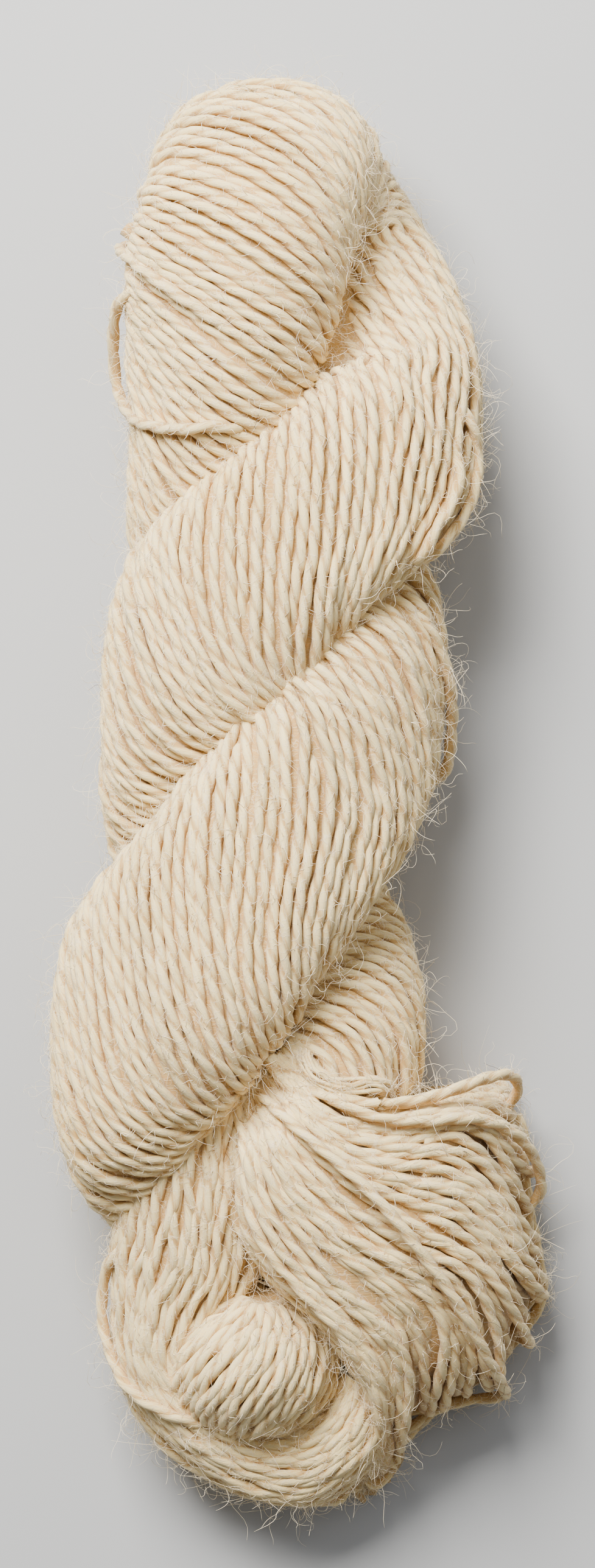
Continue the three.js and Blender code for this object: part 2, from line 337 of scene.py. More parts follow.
@dataclass(frozen=True)
class Lie:
    """How deep the strands of a part lie past their own radius, and how unevenly.

    A strand lies about least deep, rolls up and down along its length in waves, and lies deeper as
    a whole by a random share of scatter.
    """

    least: float
    roll: float
    scatter: float
    wave: float = 30.0

    def sink(self, rng: np.random.Generator, places: np.ndarray) -> np.ndarray:
        """The depth of one strand's middle line at each place along it."""
        rolling = wander(rng, places, self.wave, self.roll)
        return PLIED.radius + self.least + rolling + abs(rng.normal(0, self.scatter))


class HankSkin:
    """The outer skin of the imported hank, which says how deep a point lies in it."""

    HIDDEN = 4.0
    RESTING = 1.1
    EVERY = 2
    ABOVE = 100.0

    def __init__(self, node: bpy.types.Object) -> None:
        """Keeps the node's faces in a search tree, in millimetres.

        Args:
            node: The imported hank.
        """
        corners = corners_of(node.data) / MM - CENTRING
        faces = [list(p.vertices) for p in node.data.polygons]
        self.tree = BVHTree.FromPolygons(corners.tolist(), faces)

    def nearest(self, points: np.ndarray) -> tuple[np.ndarray, np.ndarray]:
        """How far inside the skin each point is, below 0 outside it, and the skin's way out there.

        Args:
            points: Points one step apart along a strand.

        Returns:
            The depths and ways out, found at every second point and read between them.
        """
        index = np.unique(np.r_[np.arange(0, len(points), self.EVERY), len(points) - 1])
        found = [self.tree.find_nearest(point)[:2] for point in points[index].tolist()]
        near = np.array([place for place, _ in found])
        normal = np.array([way for _, way in found])
        gap = points[index] - near
        side = -np.sign(dot(gap, normal))[:, 0]
        every = np.arange(len(points))
        depth = np.interp(every, index, side * np.linalg.norm(gap, axis=1))
        return depth, unit(read_columns(every, index, normal))

    def top(self, points: np.ndarray) -> np.ndarray:
        """The height of the hank's top, found from straight above each point.

        Args:
            points: Points, of which only the place on the floor counts.

        Returns:
            The heights, 0 beside the hank.
        """
        above = points * [1, 1, 0] + [0, 0, self.ABOVE]
        hits = [self.tree.ray_cast(point, (0, 0, -1))[0] for point in above.tolist()]
        return np.array([0.0 if hit is None else hit[2] for hit in hits])

    def shown(self, strands: list[Strand], hidden: float = HIDDEN) -> list[Strand]:
        """The runs of the strands that lie near enough to the skin to be seen, lifted off the floor.

        Args:
            strands: Whole strands.
            hidden: The depth past which nothing is seen.

        Returns:
            The runs, each with its depth.
        """
        runs = []
        for strand in strands:
            strand.points[:, 2] = np.maximum(strand.points[:, 2], self.RESTING)
            strand.depth = self.nearest(strand.points)[0]
            runs += strand.parts(strand.depth < hidden)
        return runs


@dataclass
class Sweep:
    """A squared oval carried along a line: the skin of a leg or of the ring.

    A point of the skin is centre + out * half_out * c + across * half_across * s, where c and s are
    the cosine and sine of the angle over (|cos|^q + |sin|^q)^(1/q), and half_across is half_plus
    where s is above 0 and half_minus elsewhere. Its height is then times press, plus lift.
    """

    centre: np.ndarray
    out: np.ndarray
    across: np.ndarray
    half_out: np.ndarray
    half_plus: np.ndarray
    half_minus: np.ndarray
    squareness: float
    typical: tuple[float, float]
    lift: float = 0.0
    press: float = 1.0

    def __post_init__(self) -> None:
        """Works out the distance along the line and the way from a share of the girth to an angle."""
        self.distance = distance_along(self.centre)
        self.sizes = np.stack([self.half_out, self.half_plus, self.half_minus], axis=1)
        self.angles = np.linspace(0, 2 * np.pi, 721)
        c, s = self.oval(self.angles)
        ring = np.stack([self.typical[0] * c, self.typical[1] * s], axis=1)
        length = distance_along(ring)
        self.girth = length[-1]
        self.shares = length / self.girth

    def oval(self, angle: np.ndarray) -> tuple[np.ndarray, np.ndarray]:
        """The unit oval's two coordinates at an angle.

        Args:
            angle: The angle round it, from the way out of the hank.

        Returns:
            Its c and s.
        """
        c, s = np.cos(angle), np.sin(angle)
        size = (np.abs(c) ** self.squareness + np.abs(s) ** self.squareness) ** (-1 / self.squareness)
        return c * size, s * size

    def line(self, distance: np.ndarray, share: np.ndarray,
             sink: np.ndarray) -> tuple[np.ndarray, np.ndarray]:
        """A line on the skin or under it.

        Args:
            distance: Distances along the sweep.
            share: The share of the way round the girth at each.
            sink: How far under the skin at each.

        Returns:
            The line's points, and the way out of the skin at each.
        """
        c, s = self.oval(np.interp(share % 1.0, self.shares, self.angles))
        centre, out, across, sizes = (
            read_columns(distance, self.distance, values)
            for values in (self.centre, self.out, self.across, self.sizes))
        out, across = unit(out), unit(across)
        half_out = sizes[:, 0]
        half_across = np.where(s > 0, sizes[:, 1], sizes[:, 2])
        points = centre + out * (half_out * c)[:, None] + across * (half_across * s)[:, None]
        power = self.squareness - 1
        tilt_out = np.sign(c) * np.abs(c) ** power / half_out
        tilt_across = np.sign(s) * np.abs(s) ** power / half_across
        outward = out * tilt_out[:, None] + across * tilt_across[:, None]
        points = points * [1, 1, self.press] + [0, 0, self.lift]
        outward = unit(outward / [1, 1, self.press])
        return points - outward * sink[:, None], outward


@dataclass
class Legs:
    """The two legs that wind round each other, wound from strands that run over the fold.

    The legs' middle line goes round the hank's axis by the table's turn, at its radius. Above the
    fold's start it swings in to the axis and over, as a half circle does. The side of a leg that
    faces the fold is fuller round the angle full_at, and the side that faces away is thinner round
    thin_at. A side changes from one to the other by a smooth step as it turns over.
    """

    fold_y: float = 95.5
    fold_reach: float = 18.3
    foot_a: float = -84.0
    foot_b: float = -66.0
    press: float = 0.8
    axis_height: float = 24.0
    squareness: float = 2.3
    upper_fullness: float = 0.15
    thin_at: float = 50.0
    full_at: float = 10.0
    strands: int = 54
    spacing: float = 2.2
    leg_points: int = 500
    fold_points: int = 160
    stations: int = 1200
    strand_step: float = 0.35
    typical: tuple[float, float] = (16.5, 22.5)
    under_fan: float = 5.0
    lean_at: float = 0.8
    dive: float = 3.3
    turnover: float = 0.6
    first_rank: float = 0.3
    rising: tuple[float, float] = (-0.04, 0.06)
    dived_width: float = 0.06
    play: float = 0.2
    lie: Lie = Lie(0.15, 0.25, 0.34)
    under_weight: float = 0.15

    def sweep(self) -> tuple[Sweep, np.ndarray, np.ndarray]:
        """The legs' skin, and how the strands run round it.

        Returns:
            The sweep from leg A's foot over the fold to leg B's foot, then at each station how far the
            strands have slipped, in shares of the girth, and how much more they slip on one side.
        """
        up = np.linspace(self.foot_a, self.fold_y, self.leg_points)
        bend = np.linspace(0, np.pi, self.fold_points)[1:-1]
        down = np.linspace(self.fold_y, self.foot_b, self.leg_points)
        y = np.concatenate([up, self.fold_y + self.fold_reach * np.sin(bend), down])
        arm = np.concatenate([np.ones_like(up), np.cos(bend), -np.ones_like(down)])
        share_b = 0.5 - 0.5 * arm
        turn = np.radians(LEG_TABLE.at("turn", y))
        axis_x = LEG_TABLE.at("axis_x", y)
        reach = arm * LEG_TABLE.at("radius", y)
        centre = np.stack([axis_x + reach * np.cos(turn), y, reach * np.sin(turn)], axis=1)
        spine = np.stack([axis_x, np.minimum(y, self.fold_y), np.zeros_like(y)], axis=1)
        length = distance_along(centre)
        places = np.linspace(0, length[-1], self.stations)
        centre = read_columns(places, length, centre)
        spine = read_columns(places, length, spine)
        y, share_b, turn = read_columns(places, length, np.stack([y, share_b, turn], axis=1)).T
        along = unit(np.gradient(centre, places, axis=0))
        out = centre - spine
        out = unit(out - dot(out, along) * along)
        across = np.cross(along, out)
        leg_turn = turn + np.where(share_b > 0.5, np.pi, 0)
        most = ((LEG_TABLE.at("thin", y), self.thin_at), (self.upper_fullness, self.full_at))
        thin, full = (
            amount * np.clip(np.cos(leg_turn - math.radians(at)), 0, 1) ** 2 for amount, at in most)
        side = self.blend("side", y, share_b)
        upper, lower = side * (1 + full), side * (1 - thin)
        plus_up, minus_up = (ease(sign * across[:, 1], -self.turnover, 0.0) for sign in (1, -1))
        sweep = Sweep(
            centre, out, across, self.blend("out", y, share_b),
            lower + (upper - lower) * plus_up, lower + (upper - lower) * minus_up,
            self.squareness, self.typical, self.axis_height, self.press,
        )
        drift = self.blend("drift", y, share_b, DRIFT_TABLE)
        slip = np.r_[0, np.cumsum(0.5 * (drift[1:] + drift[:-1]) * np.diff(places))] / sweep.girth
        return sweep, slip, DRIFT_TABLE.at("lean_a", y) * (1 - share_b)

    @staticmethod
    def blend(name: str, y: np.ndarray, share_b: np.ndarray, table: Table = LEG_TABLE) -> np.ndarray:
        """A size of leg A turning into that of leg B over the fold."""
        return table.at(f"{name}_a", y) * (1 - share_b) + table.at(f"{name}_b", y) * share_b

    def share(self, label: np.ndarray, slipped: np.ndarray, lean: np.ndarray) -> np.ndarray:
        """A strand's share of the girth: u + lean sin(2 pi (u - lean_at)) / 2 pi, u its label less slip."""
        u = label - slipped
        return u + lean * np.sin(2 * np.pi * (u - self.lean_at)) / (2 * np.pi)

    def room(self, sweep: Sweep, slip: np.ndarray, lean: np.ndarray, places: np.ndarray) -> np.ndarray:
        """The part of the strands that have room side by side, from the girth across their own way.

        It is the mean of the cubes, so that the widest places count most, as does the upper side.

        Args:
            sweep: The legs' skin.
            slip: The slip at each of its stations.
            lean: The lean at each of its stations.
            places: Distances along it.

        Returns:
            The part at each place.
        """
        rough, count, window = places[::8], 36, 9
        labels = np.arange(count) / count
        slipped = np.interp(rough, sweep.distance, slip)[:, None]
        leaning = np.interp(rough, sweep.distance, lean)[:, None]
        shares = self.share(labels[None, :], slipped, leaning)
        points, ways = sweep.line(np.repeat(rough, count), shares.ravel(), np.zeros(shares.size))
        points = points.reshape(len(rough), count, 3)
        weight = self.under_weight + np.clip(ways[:, 2].reshape(len(rough), count), 0, 1)
        along = unit(np.gradient(points, axis=0))
        aside = (np.roll(points, -1, axis=1) - np.roll(points, 1, axis=1)) * count / 2
        across = np.linalg.norm(np.cross(aside, along), axis=-1) ** 3
        across = ((across * weight).sum(axis=1) / weight.sum(axis=1)) ** (1 / 3)
        across = smoothed(across, window // 2)
        return np.interp(places, rough, across) / (self.spacing * self.strands)

    def turns(self, fan: "Fan", rng: np.random.Generator) -> list[Strand]:
        """The legs' strands, side by side round the girth. Where room is short some dive under the rest.

        Args:
            fan: The fan, whose first turns lie over the strands at the last crossing.
            rng: Where the strands' small differences come from.

        Returns:
            The strands, each from one foot over the fold to the other.
        """
        sweep, slip, lean = self.sweep()
        places = np.arange(0, sweep.distance[-1], self.strand_step)
        slipped = np.interp(places, sweep.distance, slip)
        leaning = np.interp(places, sweep.distance, lean)
        rank = (self.first_rank + GOLDEN * np.arange(self.strands)) % 1.0
        up = ease(self.room(sweep, slip, lean, places)[:, None] - rank, *self.rising)
        width = self.dived_width + (1 - self.dived_width) * up
        labels = (np.cumsum(width, axis=1) - 0.5 * width) / width.sum(axis=1, keepdims=True)
        made = []
        for number in range(self.strands):
            sway = wander(rng, places, 38.0, 0.45) / sweep.girth
            label = labels[:, number] + rng.uniform(-self.play, self.play) / self.strands
            share = self.share(label, slipped, leaning) + sway
            sink = self.lie.sink(rng, places) + self.dive * (1 - up[:, number])
            points, outward = sweep.line(places, share, sink)
            on_b = places > 0.5 * sweep.distance[-1]
            points = points - outward * (self.under_fan * fan.covers(points) * on_b)[:, None]
            made.append(Strand.drawn(points, outward, PLIED, rng))
        return made


@dataclass
class Fan:
    """The right side of the end loop, spread out as a fan of separate turns.

    A turn starts in the last groove, climbs to its crest, falls in an arc to the fan's edge and
    goes back along the surface underneath. Each of spacings is a part of the way to the edge and
    how far apart the turns are there. rise_at is where each fourth turn comes up from its layer,
    and hidden is the depth past which a turn isn't seen.
    """

    spacings: tuple[tuple[float, float], ...] = ((1.0, 2.5), (0.72, 2.6), (0.45, 2.6))
    typical_length: float = 70.0
    root_z: float = 35.5
    root_rise: float = 0.12
    root_start: float = -0.075
    root_fall: float = 260.0
    fall: float = 2.6
    rounding: float = 0.9
    side_height: float = 0.3
    side_rows: float = 0.7
    steps: int = 90
    layer: float = 1.1
    rise_at: tuple[float, ...] = (0.0, 0.36, 0.1, 0.5)
    lie: Lie = Lie(0.1, 0.32, 0.3)
    veer: float = 1.1
    most_reach: float = 1.015
    lowest: float = 4.0
    notch_row: float = 5.3
    notch_depth: float = 0.05
    edge_turns: int = 9
    edge_reach: float = 0.965
    edge_low: float = 3.5
    edge_high: float = 14.5
    loop_width: float = 3.2
    under_layer: float = 2.0
    under_from: float = 0.4
    back_from: int = 16
    back_to: float = 0.08
    pull: float = 1.25
    crossing_rows: float = 3.0
    first_turn: float = 0.15
    covered_from: float = 12.0
    hidden: float = 5.2

    def skin(self, row: np.ndarray, t: np.ndarray, reach: float = 1.0) -> np.ndarray:
        """The fan's top, as root + along * t, bent left by bow * 4t(1 - t) + sway * sin(2 pi t).

        Args:
            row: The turn's place in the table.
            t: The part of the way to the edge.
            reach: How far past the edge the turn goes, against its own length.

        Returns:
            The points, whose height is edge_z + (crest - edge_z) * sqrt(1 - t^fall) less the root's
            dip. Towards the first and last rows it falls off as a quarter circle does.
        """
        root_x, root_y, edge_x, edge_y, bow, sway, crest, edge_z = (
            FAN_TABLE.at(name, row) for name in FAN_COLUMNS[1:])
        root = np.stack([root_x, root_y], axis=-1)
        edge = np.stack([edge_x, edge_y], axis=-1)
        along = (edge - root) * np.asarray(reach)[..., None]
        left = unit(np.stack([-along[..., 1], along[..., 0]], axis=-1))
        bend = bow * 4 * t * (1 - t) + sway * np.sin(2 * np.pi * t)
        plan = root + along * t[..., None] + left * bend[..., None]
        fall = np.sqrt(np.clip(1 - np.maximum(t, 0) ** self.fall, 0, 1))
        dip = (crest - self.root_z) * np.clip(1 - t / self.root_rise, 0, 1) ** 2
        dip = dip + self.root_fall * np.minimum(t, 0) ** 2
        inside = np.minimum(row, LAST_ROW - row)
        from_side = np.clip(inside / self.rounding, 0, 1)
        height = self.side_height + (1 - self.side_height) * np.sqrt(1 - (1 - from_side) ** 2)
        height = height * (1 + np.minimum(inside, 0))
        z = (edge_z + (crest - edge_z) * fall - dip) * height
        return np.concatenate([plan, z[..., None]], axis=-1)

    def rows(self) -> np.ndarray:
        """Where the turns are: as close as the widest place across the fan needs.

        Returns:
            The rows. Between two fine rows the need is the largest of the gaps at the edge and on the
            way to it, each over its own spacing, and a turn stands wherever it adds up to one more.
        """
        fine = np.linspace(0.01, LAST_ROW + self.side_rows, 600)
        needs = []
        for part, spacing in self.spacings:
            across = self.skin(fine, np.full_like(fine, part))
            needs.append(np.linalg.norm(np.diff(across, axis=0), axis=1) / spacing)
        total = np.r_[0, np.cumsum(np.max(needs, axis=0))]
        return np.interp(np.arange(0.3, total[-1], 1.0), total, fine)

    def covers(self, points: np.ndarray) -> np.ndarray:
        """How far points of the last crossing lie under the fan, whose border is its roots and first turn.

        Args:
            points: The points.

        Returns:
            0 where a point is clear of the fan or low down, up to 1 where it is well under it.
        """
        t = np.linspace(0, 1, 40)
        first = self.skin(np.full_like(t, self.first_turn), t)
        row = np.linspace(LAST_ROW, self.first_turn, 20)
        roots = self.skin(row, np.zeros_like(row))
        border = np.concatenate([roots, first[1:]])
        edge_y = np.interp(points[:, 0], border[:, 0], border[:, 1])
        return ease(edge_y - points[:, 1], -1.8, 2.0) * (points[:, 2] > self.covered_from)

    def turns(self, skin: HankSkin, rng: np.random.Generator) -> list[Strand]:
        """The fan's turns. Near the root they lie in layers, and the lower ones come up as it spreads.

        Args:
            skin: The hank's skin, which the first turns climb over where they cross leg B.
            rng: Where the turns' small differences come from.

        Returns:
            The turns, each out over the top, round the edge and back underneath.
        """
        rows = self.rows()
        between = 0.5 * (rows[1:] + rows[:-1])
        rows = np.concatenate([rows, between])
        clumps = wander(rng, rows * 5, 7.0, 0.018) - 0.01
        made = []
        for number, place in enumerate(rows):
            under = number > len(between)
            begin = self.under_from if under else self.root_start
            t = np.sin(0.5 * np.pi * np.linspace(begin, 1, self.steps))
            along = t * self.typical_length
            side = ease(min(place, LAST_ROW - place), 0.2, 1.0)
            row = place + wander(rng, along, 60.0, 0.07 * (0.3 + 0.7 * side))
            row = row + side * rng.uniform(0.8, 1.15) * self.veer * ease(t, 0.6, 1.05) ** 1.6
            row = np.clip(row, 0.02, LAST_ROW + self.side_rows)
            notch = self.notch_depth * (not under) * math.exp(-(((place - self.notch_row) / 0.25) ** 2))
            reach = 1 + side * (clumps[number] + rng.normal(0, 0.012) - 0.03 * under) - notch
            reach = min(reach, self.most_reach)
            top = self.skin(row, t, reach)
            aside = unit(self.skin(row + 0.015, t, reach) - self.skin(row - 0.015, t, reach))
            outward = unit(np.cross(unit(np.gradient(top, axis=0)), aside))
            outward *= np.sign(outward[self.steps // 2, 2])
            start = self.rise_at[number % 4] + rng.uniform(-0.05, 0.05)
            deep = side * self.layer * (1 + (number % 2)) * (1 - ease(t, start, start + 0.2))
            sink = self.lie.sink(rng, along) + deep + self.under_layer * under
            over = top - outward * sink[:, None]
            if place < self.crossing_rows:
                share = 1 - ease(t, 0.5, 0.78)
                over, outward = self.lifted(over, outward, skin, share, 0.6 * (number % 2))
            over[:, 2] = np.maximum(over[:, 2], self.lowest)
            points, ways = self.returned(over, outward, self.loop_width * rng.uniform(0.4, 1.5))
            made.append(Strand.drawn(points, ways, PLIED, rng))
        return made

    def edge(self, rng: np.random.Generator) -> list[Strand]:
        """The turns that run along the fan's edge, under the tips of the rest.

        Args:
            rng: Where they begin and end and how they sway.

        Returns:
            The turns. Each follows the table's edge from one row to another, drawn in and low down.
        """
        made = []
        for number in range(self.edge_turns):
            level = number / (self.edge_turns - 1)
            begin = rng.uniform(0.3, 0.9)
            row = np.linspace(begin, LAST_ROW - rng.uniform(0.0, 0.6), 160)
            reach = self.edge_reach - 0.12 * level + 0.02 * np.sin(row * 2.1 + rng.uniform(0, 6.3))
            line = self.skin(row, np.ones_like(row), reach)
            height = self.edge_low + (self.edge_high - self.edge_low) * level
            height = height + wander(rng, row * 12, 30.0, 0.8)
            line = line * [1, 1, 0] + height[:, None] * [0, 0, 1.0]
            outward = unit(line - self.skin(row, np.full_like(row, 0.5)) * [1, 1, 0])
            made.append(Strand.drawn(line, outward, PLIED, rng))
        return made

    def lifted(self, over: np.ndarray, outward: np.ndarray, skin: HankSkin, share: np.ndarray,
               deep: float) -> tuple[np.ndarray, np.ndarray]:
        """Lifts a turn onto leg B where it crosses it.

        Args:
            over: The turn's line.
            outward: The way out at each of its points.
            skin: The hank's skin.
            share: How much of the lift is taken at each point.
            deep: How far under the skin the turn stays, past its own radius.

        Returns:
            The lifted line, smoothed over its neighbours, and its ways out.
        """
        top = skin.top(over) - PLIED.radius - deep
        height = smoothed(over[:, 2] + np.maximum(top - over[:, 2], 0) * share, 4)
        raised = over * [1, 1, 0] + height[:, None] * [0, 0, 1.0]
        ways = skin.nearest(raised)[1]
        return raised, unit(outward * (1 - share)[:, None] + ways * share[:, None] + [0, 0, 0.3])

    def returned(self, over: np.ndarray, outward: np.ndarray,
                 width: float) -> tuple[np.ndarray, np.ndarray]:
        """Carries a turn round the edge and back underneath it.

        Args:
            over: The turn's line over the top.
            outward: The way out at each of its points.
            width: How far beside itself the turn goes back, clockwise round the fan.

        Returns:
            The whole line and its ways out. The loop is a cubic between the two flat runs.
        """
        end, inward = over[-1], unit((over[-12] - over[-1]) * [1, 1, 0])
        beside = np.cross(inward, [0, 0, 1.0])
        beside *= -np.sign(beside[1]) if abs(beside[1]) > 0.2 else -np.sign(beside[0])
        stop = int(self.steps * self.back_to)
        back = over[-self.back_from:stop:-1] * [1, 1, 0] + [0, 0, PLIED.radius] + beside * width
        clear = np.linalg.norm((back - end)[:, :2], axis=1) > end[2]
        clear[-3:] = True
        back = back[clear]
        first, leave, enter = back[0], unit(over[-1] - over[-3]), unit(back[1] - back[0])
        pull = self.pull * np.linalg.norm(first - end)
        t = np.linspace(0, 1, 12)[1:-1, None]
        loop = ((1 + 2 * t) * (1 - t) ** 2 * end + t * (1 - t) ** 2 * pull * leave
                + t * t * (3 - 2 * t) * first + t * t * (t - 1) * pull * enter)
        down = np.array([0, 0, -1.0])
        ways = outward[-1] * (1 - t) ** 2 - 2 * t * (1 - t) * inward * 2 + down * t ** 2
        return (np.concatenate([over, loop, back]),
                np.concatenate([outward, unit(ways), np.tile(down, (len(back), 1))]))


@dataclass
class Ring:
    """The left side of the end loop, wound from strands that run nearly along it."""

    strands: int = 46
    squareness: float = 2.2
    typical: tuple[float, float] = (11.5, 13.5)
    drift: float = 0.1
    play: float = 0.15
    lie: Lie = Lie(0.2, 0.3, 0.3)

    def sweep(self) -> Sweep:
        """The ring's skin: the table's oval, upright, carried along its line.

        Returns:
            The sweep.
        """
        row = np.linspace(0, len(RING_ROWS) - 1, 400)
        centre = np.stack([RING_TABLE.at(name, row) for name in "xyz"], axis=1)
        along = unit(np.gradient(centre, axis=0))
        across = unit(np.cross(along, [0, 0, 1.0]))
        out = np.cross(across, along)
        half_across = RING_TABLE.at("half_width", row)
        return Sweep(centre, out, across, RING_TABLE.at("half_height", row), half_across, half_across,
                     self.squareness, self.typical)

    def turns(self, rng: np.random.Generator) -> list[Strand]:
        """The ring's strands, side by side round its girth.

        Args:
            rng: Where the strands' small differences come from.

        Returns:
            The strands.
        """
        sweep = self.sweep()
        places = np.arange(0, sweep.distance[-1], 1.0)
        made = []
        for number in range(self.strands):
            sway = wander(rng, places, 45.0, 0.7) / sweep.girth
            share = (number + rng.uniform(-self.play, self.play)) / self.strands
            share = share + self.drift * places / sweep.girth + sway
            points, outward = sweep.line(places, share, self.lie.sink(rng, places))
            made.append(Strand.drawn(points, outward, PLIED, rng))
        return made


@dataclass
class Knob:
    """The other leg's end, pushed up through the loop: strands that fan out of the pit beside it.

    They are the meridians of an ellipsoid whose pole is the pit, turned a little round it by twist.
    """

    centre: Triple = (-9.2, -102.8, 17.5)
    size: Triple = (17.0, 15.0, 18.2)
    pit: Triple = (0.14, 0.93, 0.34)
    strands: int = 52
    first_angle: float = 7.0
    last_angle: float = 160.0
    length: float = 16.0
    layer: float = 2.0
    dive: float = 5.0
    twist: float = -0.45
    play: float = 0.15
    lay: float = 0.15
    roll: float = 0.28

    def turns(self, rng: np.random.Generator) -> list[Strand]:
        """The knob's strands. Near the pit every second one lies under its neighbours.

        Args:
            rng: Where the strands' small differences come from.

        Returns:
            The strands, each from the pit out and down.
        """
        pole = unit(np.array(self.pit))
        up = unit(np.array([0, 0, 1.0]) - pole * pole[2])
        aside = np.cross(pole, up)
        centre, size = np.array(self.centre), np.array(self.size)
        angle = np.linspace(math.radians(self.first_angle), math.radians(self.last_angle), 120)
        places = angle * self.length
        made = []
        for number in range(self.strands):
            sway = wander(rng, places, 30.0, 0.025)
            place = number + rng.uniform(-self.play, self.play)
            round_pole = 2 * np.pi * place / self.strands + sway
            round_pole = round_pole + self.twist * (angle - 0.5 * np.pi)
            ways = up * np.cos(round_pole)[:, None] + aside * np.sin(round_pole)[:, None]
            sphere = pole * np.cos(angle)[:, None] + ways * np.sin(angle)[:, None]
            outward = unit(sphere / size)
            under = self.layer * (number % 2) * (1 - ease(angle, 0.45, 0.85))
            dive = self.dive * (1 - ease(angle, 0.0, 0.45)) ** 2
            sink = PLIED.radius + self.lay + under + dive + wander(rng, places, 24.0, self.roll)
            points = centre + size * sphere - outward * sink[:, None]
            made.append(Strand.drawn(points, outward, PLIED, rng))
        return made


# The slack turns that stand off the hank, each through a few points from one end to the other.
SLACK_TURNS = {
    "over_left_shoulder": (
        (-29.5, 102, 12), (-32.4, 100.4, 20), (-32.6, 98.6, 28), (-30.8, 96.6, 35.4), (-28.4, 94.2, 39.6),
        (-24, 90.6, 43.4), (-18, 86.4, 46), (-12, 82, 46.6), (-6, 78, 43)),
    "left_loop": (
        (-26, 94, 39.5), (-31, 91.5, 36.5), (-33.3, 87.5, 30), (-34, 81, 24), (-33.5, 75, 21.5),
        (-31.3, 69.5, 27.5), (-26.8, 66.3, 37.8), (-20.4, 65.4, 43.2), (-14.5, 65.8, 44.6), (-9, 64, 43),
        (-4, 61, 40)),
    "right_loop": (
        (27, 78, 36.5), (30.6, 67.5, 34.8), (31.8, 61, 31.5), (31.4, 56.1, 32.2), (30, 52, 33.8),
        (27.8, 48.2, 35.6), (25.2, 45, 37.3), (22.6, 42.2, 37.6), (19.4, 39.4, 35), (15.5, 36.6, 33)),
    "right_loop_inner": (
        (27.5, 70, 37.2), (28.8, 62, 37.2), (28.3, 57, 37.9), (26.7, 52, 39.2), (24.3, 48.2, 41),
        (21.8, 43.2, 40.4), (18.4, 40, 36), (14, 38, 34)),
    "right_edge": (
        (16, 37.5, 33), (20.6, 35, 34.8), (24, 29, 32), (26.6, 22, 28), (27.4, 12, 21), (26, 2, 17),
        (23, -5, 14)),
    "ring_edge": (
        (-29, -76, 28.5), (-33.6, -82, 24), (-36, -89, 18.5), (-36.2, -96, 17.5), (-34.4, -102, 20),
        (-31, -107.5, 24), (-26, -110.8, 25.6), (-20, -113.2, 24.6), (-14.5, -113.6, 20.5), (-9, -112, 14),
        (-5, -110, 9)),
    "fan_top_loop": (
        (-4, -46, 26), (-1.5, -48.6, 33), (4, -52.4, 37.8), (9, -54.2, 38.4), (14, -54.8, 37.4),
        (20, -54.6, 34.8), (28, -52.6, 31), (33, -51, 27),
        (38, -50.6, 21.5), (39.6, -52.5, 17), (39, -57, 12), (35, -61, 8)),
    "fan_edge_loop": (
        (-5, -47.5, 27), (-1, -50.4, 35), (6, -54.2, 39.6), (13, -57, 40), (21, -58, 38),
        (30, -57.7, 33.8), (36, -59.3, 29), (40.8, -63, 23), (43.4, -68, 17.5),
        (44, -72, 14), (42.8, -76.5, 11), (39, -80.5, 7)),
    "fan_long_turn": (
        (-9.5, -50, 26), (-7, -53.4, 34.5), (-3, -57, 40.4), (2, -61.2, 43.4), (7, -65.4, 43.9),
        (12.5, -70.4, 43.7), (17.5, -76, 42.6), (22, -82, 40.4), (27, -89, 37.4), (31, -96, 33),
        (34.3, -102.5, 27), (37.0, -108.0, 17), (37.4, -109.8, 11.5), (35.4, -110.8, 8), (31.5, -111.2, 7),
        (27.5, -112.2, 6.5), (24, -114.2, 6), (20.5, -117, 5.5), (16, -119, 5)),
    "ring_low_loop": (
        (-20, -119.5, 20), (-13, -124.4, 20), (-6, -127.2, 18.5), (0, -128.7, 15), (5, -129.4, 11),
        (9.2, -129.0, 8.5), (11.2, -126.2, 7.5), (11, -121, 8)),
}
SLUB_TURN = (
    (1.0, -41.5, 29), (0.6, -44.4, 34.6), (1.0, -48.4, 37.8), (4.4, -51.0, 38.6), (8.8, -51.8, 38.0),
    (13.4, -51.5, 36.6), (16.0, -52.2, 34.6), (18.4, -53.4, 31), (20.6, -54.6, 26))


